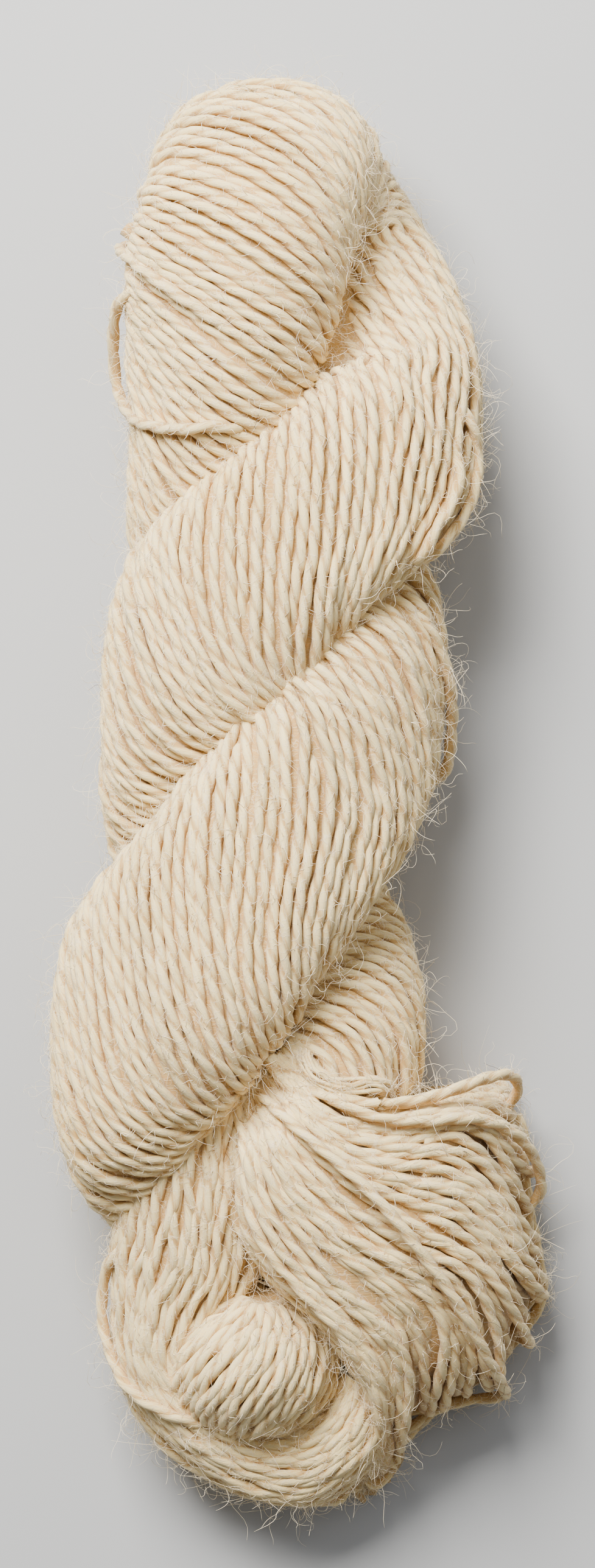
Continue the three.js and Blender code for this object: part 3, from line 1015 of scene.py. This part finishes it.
@dataclass
class SlackTurns:
    """Turns that have come away from the hank. Both ends of each go back into it.

    A turn that starts right of root_corner, in front of it and below it is rooted under the fan.
    """

    root_corner: Triple = (-12.0, -40.0, 30.0)
    smooth_steps: int = 24
    tuck_depth: float = 6.5
    tuck_reach: float = 13.0
    tufts: int = 9
    slub_wide: float = 1.15
    slub_high: float = 0.55

    def line(self, guide: tuple[Triple, ...]) -> np.ndarray:
        """A smooth line through a guide's points: cubics with each point's slope from its neighbours.

        Args:
            guide: The points.

        Returns:
            The line's points.
        """
        points = np.array(guide, float)
        length = distance_along(points)
        rows = tuple(tuple(row) for row in np.c_[length, points])
        table = Table(("along", "x", "y", "z"), rows)
        places = np.linspace(0, length[-1], self.smooth_steps * len(points))
        return np.stack([table.at(name, places) for name in "xyz"], axis=1)

    def turns(self, skin: HankSkin, rng: np.random.Generator) -> list[Strand]:
        """The slack turns, each facing the way that the skin under it faces.

        Args:
            skin: The hank's skin.
            rng: Where the turns' small differences come from.

        Returns:
            The turns.
        """
        lines = [self.tucked(self.line(guide), skin) for guide in SLACK_TURNS.values()]
        return [Strand.drawn(line, skin.nearest(line)[1], PLIED, rng) for line in lines]

    def tucked(self, line: np.ndarray, skin: HankSkin) -> np.ndarray:
        """Bends both ends of a turn down into the hank, by a smooth step over the tuck's reach.

        Args:
            line: The turn's points.
            skin: The hank's skin.

        Returns:
            The points. A turn that is rooted under the fan keeps its start.
        """
        along = distance_along(line)
        right, front, top = self.root_corner
        rooted = line[0, 0] > right and line[0, 1] < front and line[0, 2] < top
        from_end = along[-1] - along if rooted else np.minimum(along, along[-1] - along)
        dive = self.tuck_depth * (1 - ease(from_end, 0, self.tuck_reach))
        return line - skin.nearest(line)[1] * dive[:, None]

    def slub(self, skin: HankSkin, rng: np.random.Generator) -> list[Strand]:
        """The thick, hardly spun stretch of yarn at the last crossing: loose tufts side by side.

        Args:
            skin: The hank's skin, which the tufts lie on.
            rng: Where the tufts' small differences come from.

        Returns:
            The tufts. They spread over the stretch's width in its middle and meet at its ends.
        """
        line = self.tucked(self.line(SLUB_TURN), skin)
        outward = skin.nearest(line)[1]
        aside = unit(np.cross(np.gradient(line, axis=0), outward))
        along = distance_along(line)
        spread = np.sin(np.linspace(0.15, np.pi - 0.15, len(line))) ** 0.5
        made = []
        for number in range(self.tufts):
            angle = 2 * np.pi * number / self.tufts
            over = self.slub_high * math.sin(angle) + wander(rng, along, 14.0, 0.2)
            beside = self.slub_wide * math.cos(angle) + wander(rng, along, 14.0, 0.3)
            tuft = line + (outward * over[:, None] + aside * beside[:, None]) * spread[:, None]
            strand = Strand.drawn(tuft, outward, SLUB, rng)
            strand.width = strand.width * np.sin(np.linspace(0.2, np.pi - 0.2, len(strand.width))) ** 0.4
            made.append(strand)
        return made


@dataclass
class Fibres:
    """Loose fibres that stand off the strands.

    A fibre starts on a strand and runs d * cos(a) + (k x d) * sin(a) at each step, where a grows
    along it, so that it curls round k, and it is drawn back to the skin by the square of the part
    of its length. FADES are the depths over which they thin out to none and GROOVES those to half.
    With rim_only they stand where the way out is level within about RIM_WIDTH, and RIM_FADES are
    the depths.
    """

    FADES = (3.0, 4.5)
    GROOVES = (2.2, 3.2)
    RIM_FADES = (2.0, 2.6)
    RIM_WIDTH = 0.45
    LOWEST = 0.15

    count: int
    steps: int
    shortest: float
    longest: float
    lift: tuple[float, float]
    curl: float
    settle: float
    rim_only: bool = False

    def grow(self, strands: list[Strand], rng: np.random.Generator) -> list[Strand]:
        """Grows the fibres.

        Args:
            strands: The yarn they grow from.
            rng: Where they start and how they run.

        Returns:
            One thin strand for each fibre.
        """
        points = np.concatenate([s.points for s in strands])
        outward = np.concatenate([s.outward for s in strands])
        depth = np.concatenate([s.depths for s in strands])
        along = unit(np.concatenate([np.gradient(s.points, axis=0) for s in strands]))
        weight = (1 - ease(depth, *self.FADES)) * (0.25 + ease(outward[:, 2], -0.5, 0.3))
        weight = weight * (1 - 0.5 * ease(depth, *self.GROOVES))
        if self.rim_only:
            rim = np.exp(-((outward[:, 2] / self.RIM_WIDTH) ** 2))
            weight = weight * rim * (1 - ease(depth, *self.RIM_FADES))
        pick = rng.choice(len(points), self.count, p=weight / weight.sum())
        out, way = outward[pick], along[pick]
        aside = np.cross(way, out)
        rise = rng.uniform(*self.lift, self.count)[:, None]
        turn = rng.normal(0, 0.75, self.count)[:, None]
        forward = np.sign(rng.normal(size=self.count))[:, None]
        start = unit(way * forward + aside * turn + out * rise)
        axis = unit(np.cross(start, rng.normal(size=(self.count, 3)) + 0.6 * out))
        length = self.shortest + (self.longest - self.shortest) * rng.beta(1.4, 3.0, self.count)[:, None]
        t = np.linspace(0, 1, self.steps)
        bend = rng.normal(0, 1, self.count)[:, None] * length / self.curl
        wave = rng.normal(0, 0.5, self.count)[:, None]
        angle = bend * t + wave * np.sin(2.5 * np.pi * t + rng.uniform(0, 6.3, self.count)[:, None])
        angle = angle - angle[:, :1]
        aside = np.cross(axis, start)
        ways = start[:, None] * np.cos(angle)[..., None] + aside[:, None] * np.sin(angle)[..., None]
        run = np.cumsum(ways, axis=1) - ways[:, :1]
        run = run * (length / (self.steps - 1))[..., None]
        base = points[pick] + out * PLIED.radius * rng.uniform(0.55, 0.95, self.count)[:, None]
        run = run - out[:, None] * (self.settle * rise * length)[..., None] * (t ** 2)[None, :, None]
        lines = base[:, None] + run
        lines[..., 2] = np.maximum(lines[..., 2], self.LOWEST)
        width = (1 - 0.55 * t) * rng.uniform(0.7, 1.3, self.count)[:, None]
        faces = np.cross(ways, axis[:, None])
        return [Strand(*each) for each in zip(lines, faces, width)]


class Rope:
    """Makes strands into one mesh of tubes.

    A tube's section is the gauge's outline, set across the strand and turned with its plies:
    point + radius * (cos(a) * out + sin(a) * aside), where a grows by a full turn each ply_turn.
    A strand's streaks turn STREAK_TURN times as fast as its plies. It carries painted shade that
    grows with its depth past DARKENS over DARK_DEPTH, up to DARKEST, and painted shade on its side
    that faces into the hank. FLAT says how long the girth, the room round it and an
    end patch are in the flat layout, against the gauge's diameter.
    """

    STREAK_TURN = 0.6
    DARKENS = 2.2
    DARK_DEPTH = 3.4
    DARKEST = 0.8
    LOWEST = 0.01
    FLAT = (2.6, 0.35, 0.5)

    def __init__(self, gauge: Gauge) -> None:
        """Keeps the gauge."""
        self.gauge = gauge

    def mesh(self, name: str, strands: list[Strand]) -> bpy.types.Object:
        """Builds the tubes.

        Args:
            name: The piece's name.
            strands: Its runs of yarn.

        Returns:
            The piece, closed at every end. Tubes of more than four sides get their marks as attributes and
            a flat layout.
        """
        gauge, sides = self.gauge, len(self.gauge.section)
        counts = np.array([len(s.points) for s in strands])
        first = np.r_[0, np.cumsum(counts)[:-1]]
        run = np.repeat(np.arange(len(strands)), counts)
        points = np.concatenate([s.points for s in strands]) + CENTRING
        outward = np.concatenate([s.outward for s in strands])
        width = np.concatenate([s.width for s in strands])
        depth = np.concatenate([s.depths for s in strands])
        tone = np.array([s.tone for s in strands])[run]
        phase = np.array([s.phase for s in strands])[run]
        number = np.arange(len(points))
        before = np.maximum(number - 1, first[run])
        after = np.minimum(number + 1, (first + counts - 1)[run])
        along = unit(points[after] - points[before])
        aside = unit(np.cross(along, outward))
        out = np.cross(aside, along)
        steps = np.linalg.norm(points - points[before], axis=1)
        total = np.cumsum(steps)
        length = total - total[first][run]
        spin = gauge.twist.value * 2 * np.pi * length / gauge.ply_turn + phase
        angle = spin[:, None] + 2 * np.pi * np.arange(sides) / sides
        radius = gauge.diameter * np.array(gauge.section) * width[:, None]
        high, wide = radius * np.cos(angle), radius * np.sin(angle)
        corners = points[:, None] + high[..., None] * out[:, None] + wide[..., None] * aside[:, None]
        corners[..., 2] = np.maximum(corners[..., 2], self.LOWEST)
        walls, ends = self.faces(counts, first, sides)
        mesh = bpy.data.meshes.new(name)
        mesh.from_pydata((corners.reshape(-1, 3) * MM).tolist(), [], walls.tolist() + ends.tolist())
        if sides > 4:
            offset = np.array([(37.7 * k) % 91 for k in range(len(strands))])[run]
            # painted shade: strands that lie deeper in the hank, in its pits and grooves, are marked to go
            # brown
            depth_shade = np.clip((depth - self.DARKENS) / self.DARK_DEPTH, 0, self.DARKEST)
            marks = {
                # painted shade: 0 on the side of each tube that faces out of the hank, 1 on the side that
                # faces into it, where shade falls between strands
                "groove_shade": (0.5 - 0.5 * np.cos(angle)).ravel(),
                # ply: 1 on each ply's crest, 0 at the waist between the two plies, where the shader lays
                # painted shade
                "ply": np.tile(np.abs(np.cos(2 * np.pi * np.arange(sides) / sides)), len(points)),
                "tone": np.repeat(tone, sides),
                "depth_shade": np.repeat(depth_shade, sides),
            }
            lag = spin[:, None] * -self.STREAK_TURN + angle
            fibre = np.stack([np.repeat(length + offset, sides), (radius * np.cos(lag)).ravel(),
                              (radius * np.sin(lag)).ravel()], axis=1)
            put_marks(mesh, marks, fibre)
            self.lay_flat(mesh, counts, length, sides)
        mesh.shade_smooth()
        mesh.validate()
        return placed(name, mesh)

    @staticmethod
    def faces(counts: np.ndarray, first: np.ndarray, sides: int) -> tuple[np.ndarray, np.ndarray]:
        """The four-cornered faces between sections, and one face to close each end.

        Args:
            counts: How many sections each run has.
            first: The number of each run's first section.
            sides: How many corners a section has.

        Returns:
            The corners of both kinds of face.
        """
        section = np.delete(np.arange(counts.sum()), first + counts - 1)
        k = np.arange(sides)
        a = section[:, None] * sides + k
        b = section[:, None] * sides + (k + 1) % sides
        walls = np.stack([a, b, b + sides, a + sides], axis=-1).reshape(-1, 4)
        starts = first[:, None] * sides + k[::-1]
        ends = (first + counts - 1)[:, None] * sides + k
        return walls, np.concatenate([starts, ends])

    def lay_flat(self, mesh: bpy.types.Mesh, counts: np.ndarray, length: np.ndarray, sides: int) -> None:
        """Lays the tubes out in the unit square.

        Each run is a straight strip, with its length along u and its girth along v, and its two end
        faces as small patches before and after it. The strips fill rows one after the other.

        Args:
            mesh: The mesh, with its walls first and then the start and end faces.
            counts: How many sections each run has.
            length: The length along its run of each section.
            sides: How many corners a section has.
        """
        girth, room, patch = (share * self.gauge.diameter for share in self.FLAT)
        last = np.cumsum(counts) - 1
        slots = length[last] + 2 * patch + 4 * room
        row_length = max(math.sqrt(slots.sum() * (girth + room)) * 1.06, slots.max() * 1.01)
        rows, starts, row, used = [], [], 0, 0.0
        for slot in slots.tolist():
            if used + slot > row_length:
                row, used = row + 1, 0.0
            rows.append(row)
            starts.append(used)
            used += slot
        scale = 1 / max(row_length, (row + 1) * (girth + room))
        rows, starts = np.array(rows), np.array(starts)
        run = np.repeat(np.arange(len(counts)), counts)
        u = starts[run] + patch + 2 * room + length
        v = rows[run] * (girth + room) + 0.5 * room
        section = np.delete(np.arange(counts.sum()), last)
        k = np.arange(sides)
        around = np.stack([k, k + 1, k + 1, k], axis=-1) * girth / sides
        wall_u = np.stack([u[section], u[section], u[section + 1], u[section + 1]], axis=-1)
        wall_u = np.repeat(wall_u[:, None], sides, axis=1)
        wall_v = v[section][:, None, None] + around[None]
        turn = 2 * np.pi * k / sides
        middle_u = np.concatenate([starts + 0.5 * patch + room, u[last] + room + 0.5 * patch])
        middle_v = np.tile(rows * (girth + room) + 0.5 * (girth + room), 2)
        end_u = middle_u[:, None] + 0.45 * patch * np.cos(turn)
        end_v = middle_v[:, None] + 0.45 * patch * np.sin(turn)
        layout = np.concatenate([
            np.stack([wall_u.ravel(), wall_v.ravel()], axis=1),
            np.stack([end_u.ravel(), end_v.ravel()], axis=1),
        ])
        flat = mesh.uv_layers.new(name="OFBake")
        flat.data.foreach_set("uv", (layout * scale).ravel())


class Nodes:
    """A tree of shader nodes in the making, with short ways to add to it."""

    HAIR_WIDTH = 0.014

    def __init__(self, tree: bpy.types.ShaderNodeTree) -> None:
        """Keeps the tree."""
        self.tree = tree

    def put(self, value: object, socket: bpy.types.NodeSocket) -> None:
        """Links a socket to another, or sets it to a plain value.

        Args:
            value: The other socket, or the value.
            socket: The socket.
        """
        if isinstance(value, bpy.types.NodeSocket):
            self.tree.links.new(value, socket)
        else:
            socket.default_value = value

    def node(self, kind: str, *inputs: object, **settings: object) -> bpy.types.Node:
        """Adds a node.

        Args:
            kind: Its kind, without the words ShaderNode.
            inputs: What its first inputs are linked or set to.
            settings: Its settings.

        Returns:
            The node.
        """
        node = self.tree.nodes.new(f"ShaderNode{kind}")
        for name, value in settings.items():
            setattr(node, name, value)
        for value, socket in zip(inputs, node.inputs):
            self.put(value, socket)
        return node

    def math(self, kind: str, a: object, b: object = 0.0, clamp: bool = False) -> bpy.types.NodeSocket:
        """One sum, product or other operation."""
        return self.node("Math", a, b, operation=kind, use_clamp=clamp).outputs[0]

    def mix(self, amount: object, a: object, b: object, kind: str = "MIX") -> bpy.types.NodeSocket:
        """One colour turning into another.

        Args:
            amount: How far.
            a: The colour at 0.
            b: The colour at 1.
            kind: The way they blend.

        Returns:
            The colour.
        """
        node = self.node("Mix", amount, data_type="RGBA", blend_type=kind)
        self.put(a, node.inputs[6])
        self.put(b, node.inputs[7])
        return node.outputs[2]

    def noise(self, place: object, stretch: Triple, scale: float, detail: float) -> bpy.types.NodeSocket:
        """A noise of the place times stretch, as a value round 0.5."""
        scaled = self.node("VectorMath", place, stretch, operation="MULTIPLY").outputs[0]
        return self.node("TexNoise", scaled, 0.0, scale, detail).outputs["Fac"]

    def hair(self, place: object, offset: float, scale: float) -> bpy.types.NodeSocket:
        """Fine curled lines: 1 where a broad noise is at its middle, 0 a little off it.

        Args:
            place: The place it is read at.
            offset: How far that is moved, to tell one set of lines from another.
            scale: The noise's scale.

        Returns:
            The value.
        """
        moved = self.node("VectorMath", place, (offset, offset, offset), operation="ADD").outputs[0]
        off = self.math("SUBTRACT", self.noise(moved, (1, 1, 1), scale, 1.0), 0.5)
        off = self.math("DIVIDE", self.math("ABSOLUTE", off), self.HAIR_WIDTH)
        return self.math("SUBTRACT", 1.0, off, clamp=True)


class Group(Nodes):
    """A shader node group in the making."""

    def __init__(self, name: str) -> None:
        """Makes an empty group."""
        super().__init__(bpy.data.node_groups.new(name, "ShaderNodeTree"))
        self.start = self.tree.nodes.new("NodeGroupInput")
        self.end = self.tree.nodes.new("NodeGroupOutput")

    def takes(self, name: str, kind: str) -> bpy.types.NodeSocket:
        """Adds an input and gives its socket inside the group."""
        self.tree.interface.new_socket(name=name, in_out="INPUT", socket_type=f"NodeSocket{kind}")
        return self.start.outputs[name]

    def gives(self, name: str, kind: str, source: bpy.types.NodeSocket) -> None:
        """Adds an output and feeds it."""
        self.tree.interface.new_socket(name=name, in_out="OUTPUT", socket_type=f"NodeSocket{kind}")
        self.put(source, self.end.inputs[name])


@dataclass(frozen=True)
class WoolFinish:
    """Undyed wool: cream where light falls, with painted shade: tan on the inward side of each strand
    and between its plies, and brown where a strand lies deep in the hank.

    The colour goes from light to shade, as painted shade, by groove times the mark of the strand's
    inward side, plus line * (1 - ply / line_edge) in the groove between plies, plus ruffle * (fine -
    0.5). It then goes to deep, as painted shade, by depth times the mark of how deep the strand lies.
    It is times 1 + streaks * (fine - 0.5) + swing * (patch - 0.5) + own * tone, where fine and patch
    are noises along the strand.
    """

    light: Colour = (1.0, 0.81, 0.415)
    shade: Colour = (0.59, 0.365, 0.13)
    # the brown of painted shade for strands that lie deep in the hank
    deep: Colour = (0.34, 0.19, 0.085)
    warm: Colour = (0.93, 0.86, 0.68)
    hair: Colour = (0.97, 0.83, 0.60)
    roughness: float = 0.92
    sheen: float = 0.2
    sheen_roughness: float = 0.6
    specular: float = 0.25
    streaks: float = 0.8
    bump: float = 0.6
    bump_height: float = 0.0002
    # how strongly painted shade fills the side of each strand that faces into the hank
    groove: float = 1.45
    # line and line_edge: how dark and how wide the painted shade in the groove between plies is
    line: float = 0.85
    line_edge: float = 0.72
    ruffle: float = 2.6
    # how far painted shade takes strands that lie deep in the hank towards the deep colour
    depth: float = 0.9
    swing: float = 0.16
    own: float = 0.08
    hairs: tuple[tuple[float, float], ...] = ((0.0, 300.0), (0.31, 380.0), (0.77, 460.0))
    hair_cover: float = 0.55
    hair_height: float = 0.25

    def material(self, name: str) -> bpy.types.Material:
        """The finish as a material that reads the strands' own marks.

        Args:
            name: The material's name.

        Returns:
            The material.
        """
        material, shader = shaded(name, {
            "Roughness": self.roughness, "Sheen Weight": self.sheen,
            "Sheen Roughness": self.sheen_roughness, "Specular IOR Level": self.specular})
        nodes = Nodes(material.node_tree)
        look = nodes.node("Group", node_tree=self.look())
        for socket, colour in (("Light", self.light), ("Shade", self.shade), ("Deep_shade", self.deep)):
            look.inputs[socket].default_value = (*colour, 1)
        look.inputs["Streaks"].default_value = self.streaks
        for mark in ("groove_shade", "ply", "tone", "depth_shade"):
            source = nodes.node("Attribute", attribute_name=mark)
            nodes.put(source.outputs["Fac"], look.inputs[mark.capitalize()])
        fibre = nodes.node("Attribute", attribute_name="fibre")
        nodes.put(fibre.outputs["Vector"], look.inputs["Fibre"])
        nodes.put(nodes.node("TexCoord").outputs["Object"], look.inputs["Place"])
        bump = nodes.node("Bump", self.bump, self.bump_height)
        nodes.put(look.outputs["Height"], bump.inputs["Height"])
        nodes.put(look.outputs["Color"], shader.inputs["Base Color"])
        nodes.put(bump.outputs["Normal"], shader.inputs["Normal"])
        return material

    def look(self) -> bpy.types.ShaderNodeTree:
        """The wool's colour, with its painted shade, and fine relief, as a group of nodes that takes the
        marks.

        Returns:
            The group. Broad patches are warmer, and fine pale hairs lie over all of it.
        """
        group = Group("wool_look")
        light, shade, deep = (group.takes(name, "Color") for name in ("Light", "Shade", "Deep_shade"))
        groove_shade, ply, tone, depth_shade, streaks = (
            group.takes(name, "Float") for name in ("Groove_shade", "Ply", "Tone", "Depth_shade", "Streaks"))
        fibre, place = group.takes("Fibre", "Vector"), group.takes("Place", "Vector")
        fine = group.noise(fibre, (0.09, 1.0, 1.0), 3.6, 4.0)
        broad = group.noise(place, (1, 1, 1), 28.0, 3.0)
        patch = group.noise(fibre, (0.35, 0.2, 0.2), 0.35, 2.0)
        ruffle = group.math("MULTIPLY", group.math("SUBTRACT", fine, 0.5), self.ruffle)
        # painted shade in the groove between the two plies, strongest at the waist
        line = group.math("DIVIDE", ply, self.line_edge)
        line = group.math("MULTIPLY", group.math("SUBTRACT", 1.0, line, clamp=True), self.line)
        # painted shade on each strand's inward side and between its plies
        amount = group.math("ADD", group.math("MULTIPLY", groove_shade, self.groove), line)
        base = group.mix(group.math("ADD", amount, ruffle, clamp=True), light, shade)
        # painted shade: towards deep brown by how deep the strand lies in the hank
        base = group.mix(group.math("MULTIPLY", depth_shade, self.depth, clamp=True), base, deep)
        level = group.math("MULTIPLY_ADD", group.math("SUBTRACT", fine, 0.5), streaks)
        level.node.inputs[2].default_value = 1.0
        swing = group.math("MULTIPLY", group.math("SUBTRACT", patch, 0.5), self.swing)
        level = group.math("ADD", level, swing)
        level = group.math("ADD", level, group.math("MULTIPLY", tone, self.own))
        bright = group.node("VectorMath", base, operation="SCALE")
        group.put(level, bright.inputs["Scale"])
        warm = group.math("MULTIPLY", group.math("SUBTRACT", broad, 0.52), 1.6, clamp=True)
        tinted = group.mix(warm, bright.outputs[0], (*self.warm, 1), "MULTIPLY")
        hairs = [group.hair(place, offset, scale) for offset, scale in self.hairs]
        hair = group.math("MAXIMUM", group.math("MAXIMUM", hairs[0], hairs[1]), hairs[2])
        cover = group.math("MULTIPLY", hair, self.hair_cover)
        relief = group.math("ADD", fine, group.math("MULTIPLY", hair, self.hair_height))
        group.gives("Color", "Color", group.mix(cover, tinted, (*self.hair, 1)))
        group.gives("Height", "Float", relief)
        return group.tree


@dataclass(frozen=True)
class FibreFinish:
    """The plain finish of single loose fibres."""

    colour: Colour
    roughness: float = 0.7
    specular: float = 0.3

    def material(self, name: str) -> bpy.types.Material:
        """The finish as a material of that name."""
        return shaded(name, {
            "Base Color": (*self.colour, 1), "Roughness": self.roughness,
            "Specular IOR Level": self.specular})[0]


@dataclass
class InnerLayer:
    """The yarn under the turns that show: the hank's own form, drawn in by nearly a strand, and coloured
    with painted groove shade.

    Underneath it is drawn in by under times that, and where the fan's edge is thin, past edge_x
    and edge_y, by edge_inset more sideways.
    """

    inset: float = 1.9
    under: float = 0.75
    edge_inset: float = 3.0
    edge_x: tuple[float, float] = (8.0, 20.0)
    edge_y: tuple[float, float] = (52.0, 60.0)
    lowest: float = 0.4
    # the share of painted groove shade laid over the whole inner layer
    groove_shade: float = 0.7

    def build(self, node: bpy.types.Object) -> bpy.types.Object:
        """Copies the node's skin, joins its loose faces and moves each corner in along its normal.

        Args:
            node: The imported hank.

        Returns:
            The layer.
        """
        corners = corners_of(node.data)
        faces = np.array([tuple(p.vertices) for p in node.data.polygons])
        _, first, back = np.unique(np.round(corners * 1e6), axis=0, return_index=True,
                                   return_inverse=True)
        points, faces = corners[first], back.ravel()[faces]
        normals = self.normals(points, faces)
        x, y = points[:, 0] / MM, points[:, 1] / MM
        edge = ease(x, *self.edge_x) * ease(-y, *self.edge_y)
        under = 1 - (1 - self.under) * ease(-normals[:, 2], 0.7, 0.95)
        inward = normals * self.inset * under[:, None]
        inward = inward + normals * [1, 1, 0] * self.edge_inset * edge[:, None]
        points = points - inward * MM
        points[:, 2] = np.maximum(points[:, 2], self.lowest * MM)
        mesh = bpy.data.meshes.new("inner_turns")
        mesh.from_pydata(points.tolist(), [], faces.tolist())
        values = {"groove_shade": self.groove_shade, "ply": 1.0, "tone": 0.0, "depth_shade": 0.0}
        marks = {mark: np.full(len(points), value) for mark, value in values.items()}
        put_marks(mesh, marks, points / MM)
        mesh.shade_smooth()
        mesh.validate()
        return placed("inner_turns", mesh)

    @staticmethod
    def normals(points: np.ndarray, faces: np.ndarray) -> np.ndarray:
        """The way out at each corner: the sum of its faces' ways out, each times its angle there.

        Args:
            points: The corners.
            faces: The corners of each triangle.

        Returns:
            One way out for each corner.
        """
        corner = points[faces]
        face_normal = unit(np.cross(corner[:, 1] - corner[:, 0], corner[:, 2] - corner[:, 0]))
        normals = np.zeros_like(points)
        for i in range(3):
            ahead, behind = (unit(corner[:, (i + k) % 3] - corner[:, i]) for k in (1, 2))
            angle = np.arccos(np.clip(dot(ahead, behind), -1, 1))
            np.add.at(normals, faces[:, i], face_normal * angle)
        return unit(normals)


SURFACE_FIBRES = Fibres(
    count=7800, steps=4, shortest=1.5, longest=6.5, lift=(0.15, 1.0), curl=3.5, settle=0.6)
HALO_FIBRES = Fibres(
    count=3900, steps=9, shortest=2.5, longest=15.0, lift=(0.3, 1.4), curl=4.0, settle=0.15,
    rim_only=True)
DARK_FIBRES = Fibres(
    count=170, steps=9, shortest=3.0, longest=10.0, lift=(0.1, 0.8), curl=4.0, settle=0.6)


@dataclass(frozen=True)
class Lamp:
    """A soft square light that faces the hank."""

    name: str
    place: Triple
    size: float
    power: float
    colour: Colour

    def hang(self) -> None:
        """Hangs the lamp in its place."""
        data = bpy.data.lights.new(self.name, "AREA")
        data.shape, data.size, data.energy, data.color = "SQUARE", self.size, self.power, self.colour
        lamp = placed(self.name, data)
        lamp.location = self.place
        lamp.rotation_mode = "QUATERNION"
        lamp.rotation_quaternion = (-Vector(self.place)).to_track_quat("-Z", "Y")


@dataclass
class Studio:
    """The floor, the lights and the camera that looks straight down."""

    view_height: float = 284.9056
    look_x: float = -0.61
    look_y: float = 2.32
    sharp_height: float = 22.0
    camera_height: float = 1000.0
    floor_size: float = 6.0
    floor_colour: Colour = (0.50, 0.51, 0.52)
    sky_colour: Colour = (0.95, 0.97, 1.0)
    sky: float = 0.18
    lamps: tuple[Lamp, ...] = (
        Lamp("key", (-0.27, 0.56, 0.66), 0.48, 27.0, (1.0, 0.97, 0.92)),
        Lamp("fill", (0.4, 0.6, 1.2), 1.2, 5.0, (0.97, 0.985, 1.0)),
    )

    def camera(self) -> None:
        """Puts the camera over the hank, with its long side framing view_height at sharp_height."""
        data = bpy.data.cameras.new("camera")
        data.sensor_width = 36.0
        data.lens = data.sensor_width * (self.camera_height - self.sharp_height) / self.view_height
        data.clip_start, data.clip_end = 0.05, 10.0
        camera = placed("camera", data)
        place = np.array([self.look_x, self.look_y, self.camera_height]) + CENTRING
        camera.location = (place * MM).tolist()
        bpy.context.scene.camera = camera

    def floor(self) -> None:
        """Lays a pale floor."""
        bpy.ops.mesh.primitive_plane_add(size=self.floor_size)
        floor = bpy.context.object
        floor.name = "floor"
        values = {"Base Color": (*self.floor_colour, 1), "Roughness": 0.85}
        floor.data.materials.append(shaded("pale_floor", values)[0])

    def build(self) -> None:
        """Makes the camera, the floor, the lamps and a faint sky."""
        self.camera()
        self.floor()
        for lamp in self.lamps:
            lamp.hang()
        world = bpy.data.worlds.new("sky")
        world.use_nodes = True
        sky = world.node_tree.nodes["Background"]
        sky.inputs["Color"].default_value = (*self.sky_colour, 1)
        sky.inputs["Strength"].default_value = self.sky
        bpy.context.scene.world = world


def dress(piece: bpy.types.Object, material: bpy.types.Material) -> None:
    """Gives a piece its finish and its body, and reports it.

    Args:
        piece: The piece.
        material: Its finish.
    """
    piece.data.materials.append(material)
    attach(piece, "root")
    triangles = sum(len(p.vertices) - 2 for p in piece.data.polygons)
    LOG.info("%s: %d triangles", piece.name, triangles)


def main() -> None:
    """Builds the studio and the hank, piece by piece."""
    logging.basicConfig(level=logging.INFO, format="%(name)s: %(message)s")
    rng = np.random.default_rng(SEED)
    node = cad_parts["hank"]
    Studio().build()
    skin = HankSkin(node)
    wool = WoolFinish().material("wool")
    rope = Rope(PLIED)
    inner = InnerLayer().build(node)
    dress(inner, wool)
    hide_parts("hank")
    fan = Fan()
    leg_turns = Legs().turns(fan, rng)
    slack = SlackTurns()
    loads = {f"leg_turns_{k + 1}": skin.shown(leg_turns[k::3]) for k in range(3)}
    loads["fan_turns"] = skin.shown(fan.turns(skin, rng) + fan.edge(rng), fan.hidden)
    loads["ring_turns"] = skin.shown(Ring().turns(rng))
    loads["knob_turns"] = skin.shown(Knob().turns(rng))
    loads["slack_turns"] = slack.turns(skin, rng)
    for name, strands in loads.items():
        dress(rope.mesh(name, strands), wool)
        length = sum(distance_along(strand.points)[-1] for strand in strands)
        LOG.info("%s: %.1f m of yarn", name, length * MM)
    slub = slack.slub(skin, rng)
    dress(Rope(SLUB).mesh("slub_turn", slub), wool)
    wound = [strand for strands in loads.values() for strand in strands] + slub
    fuzz = FibreFinish((0.98, 0.86, 0.64), 1.0).material("fuzz")
    dark = FibreFinish((0.10, 0.075, 0.055)).material("dark_fibre")
    for name, fibres, finish in (
            ("surface_fibres_1", SURFACE_FIBRES, fuzz), ("surface_fibres_2", SURFACE_FIBRES, fuzz),
            ("halo_fibres", HALO_FIBRES, fuzz), ("dark_fibres", DARK_FIBRES, dark)):
        dress(Rope(FIBRE).mesh(name, fibres.grow(wound, rng)), finish)


if __name__ == "__main__":
    main()
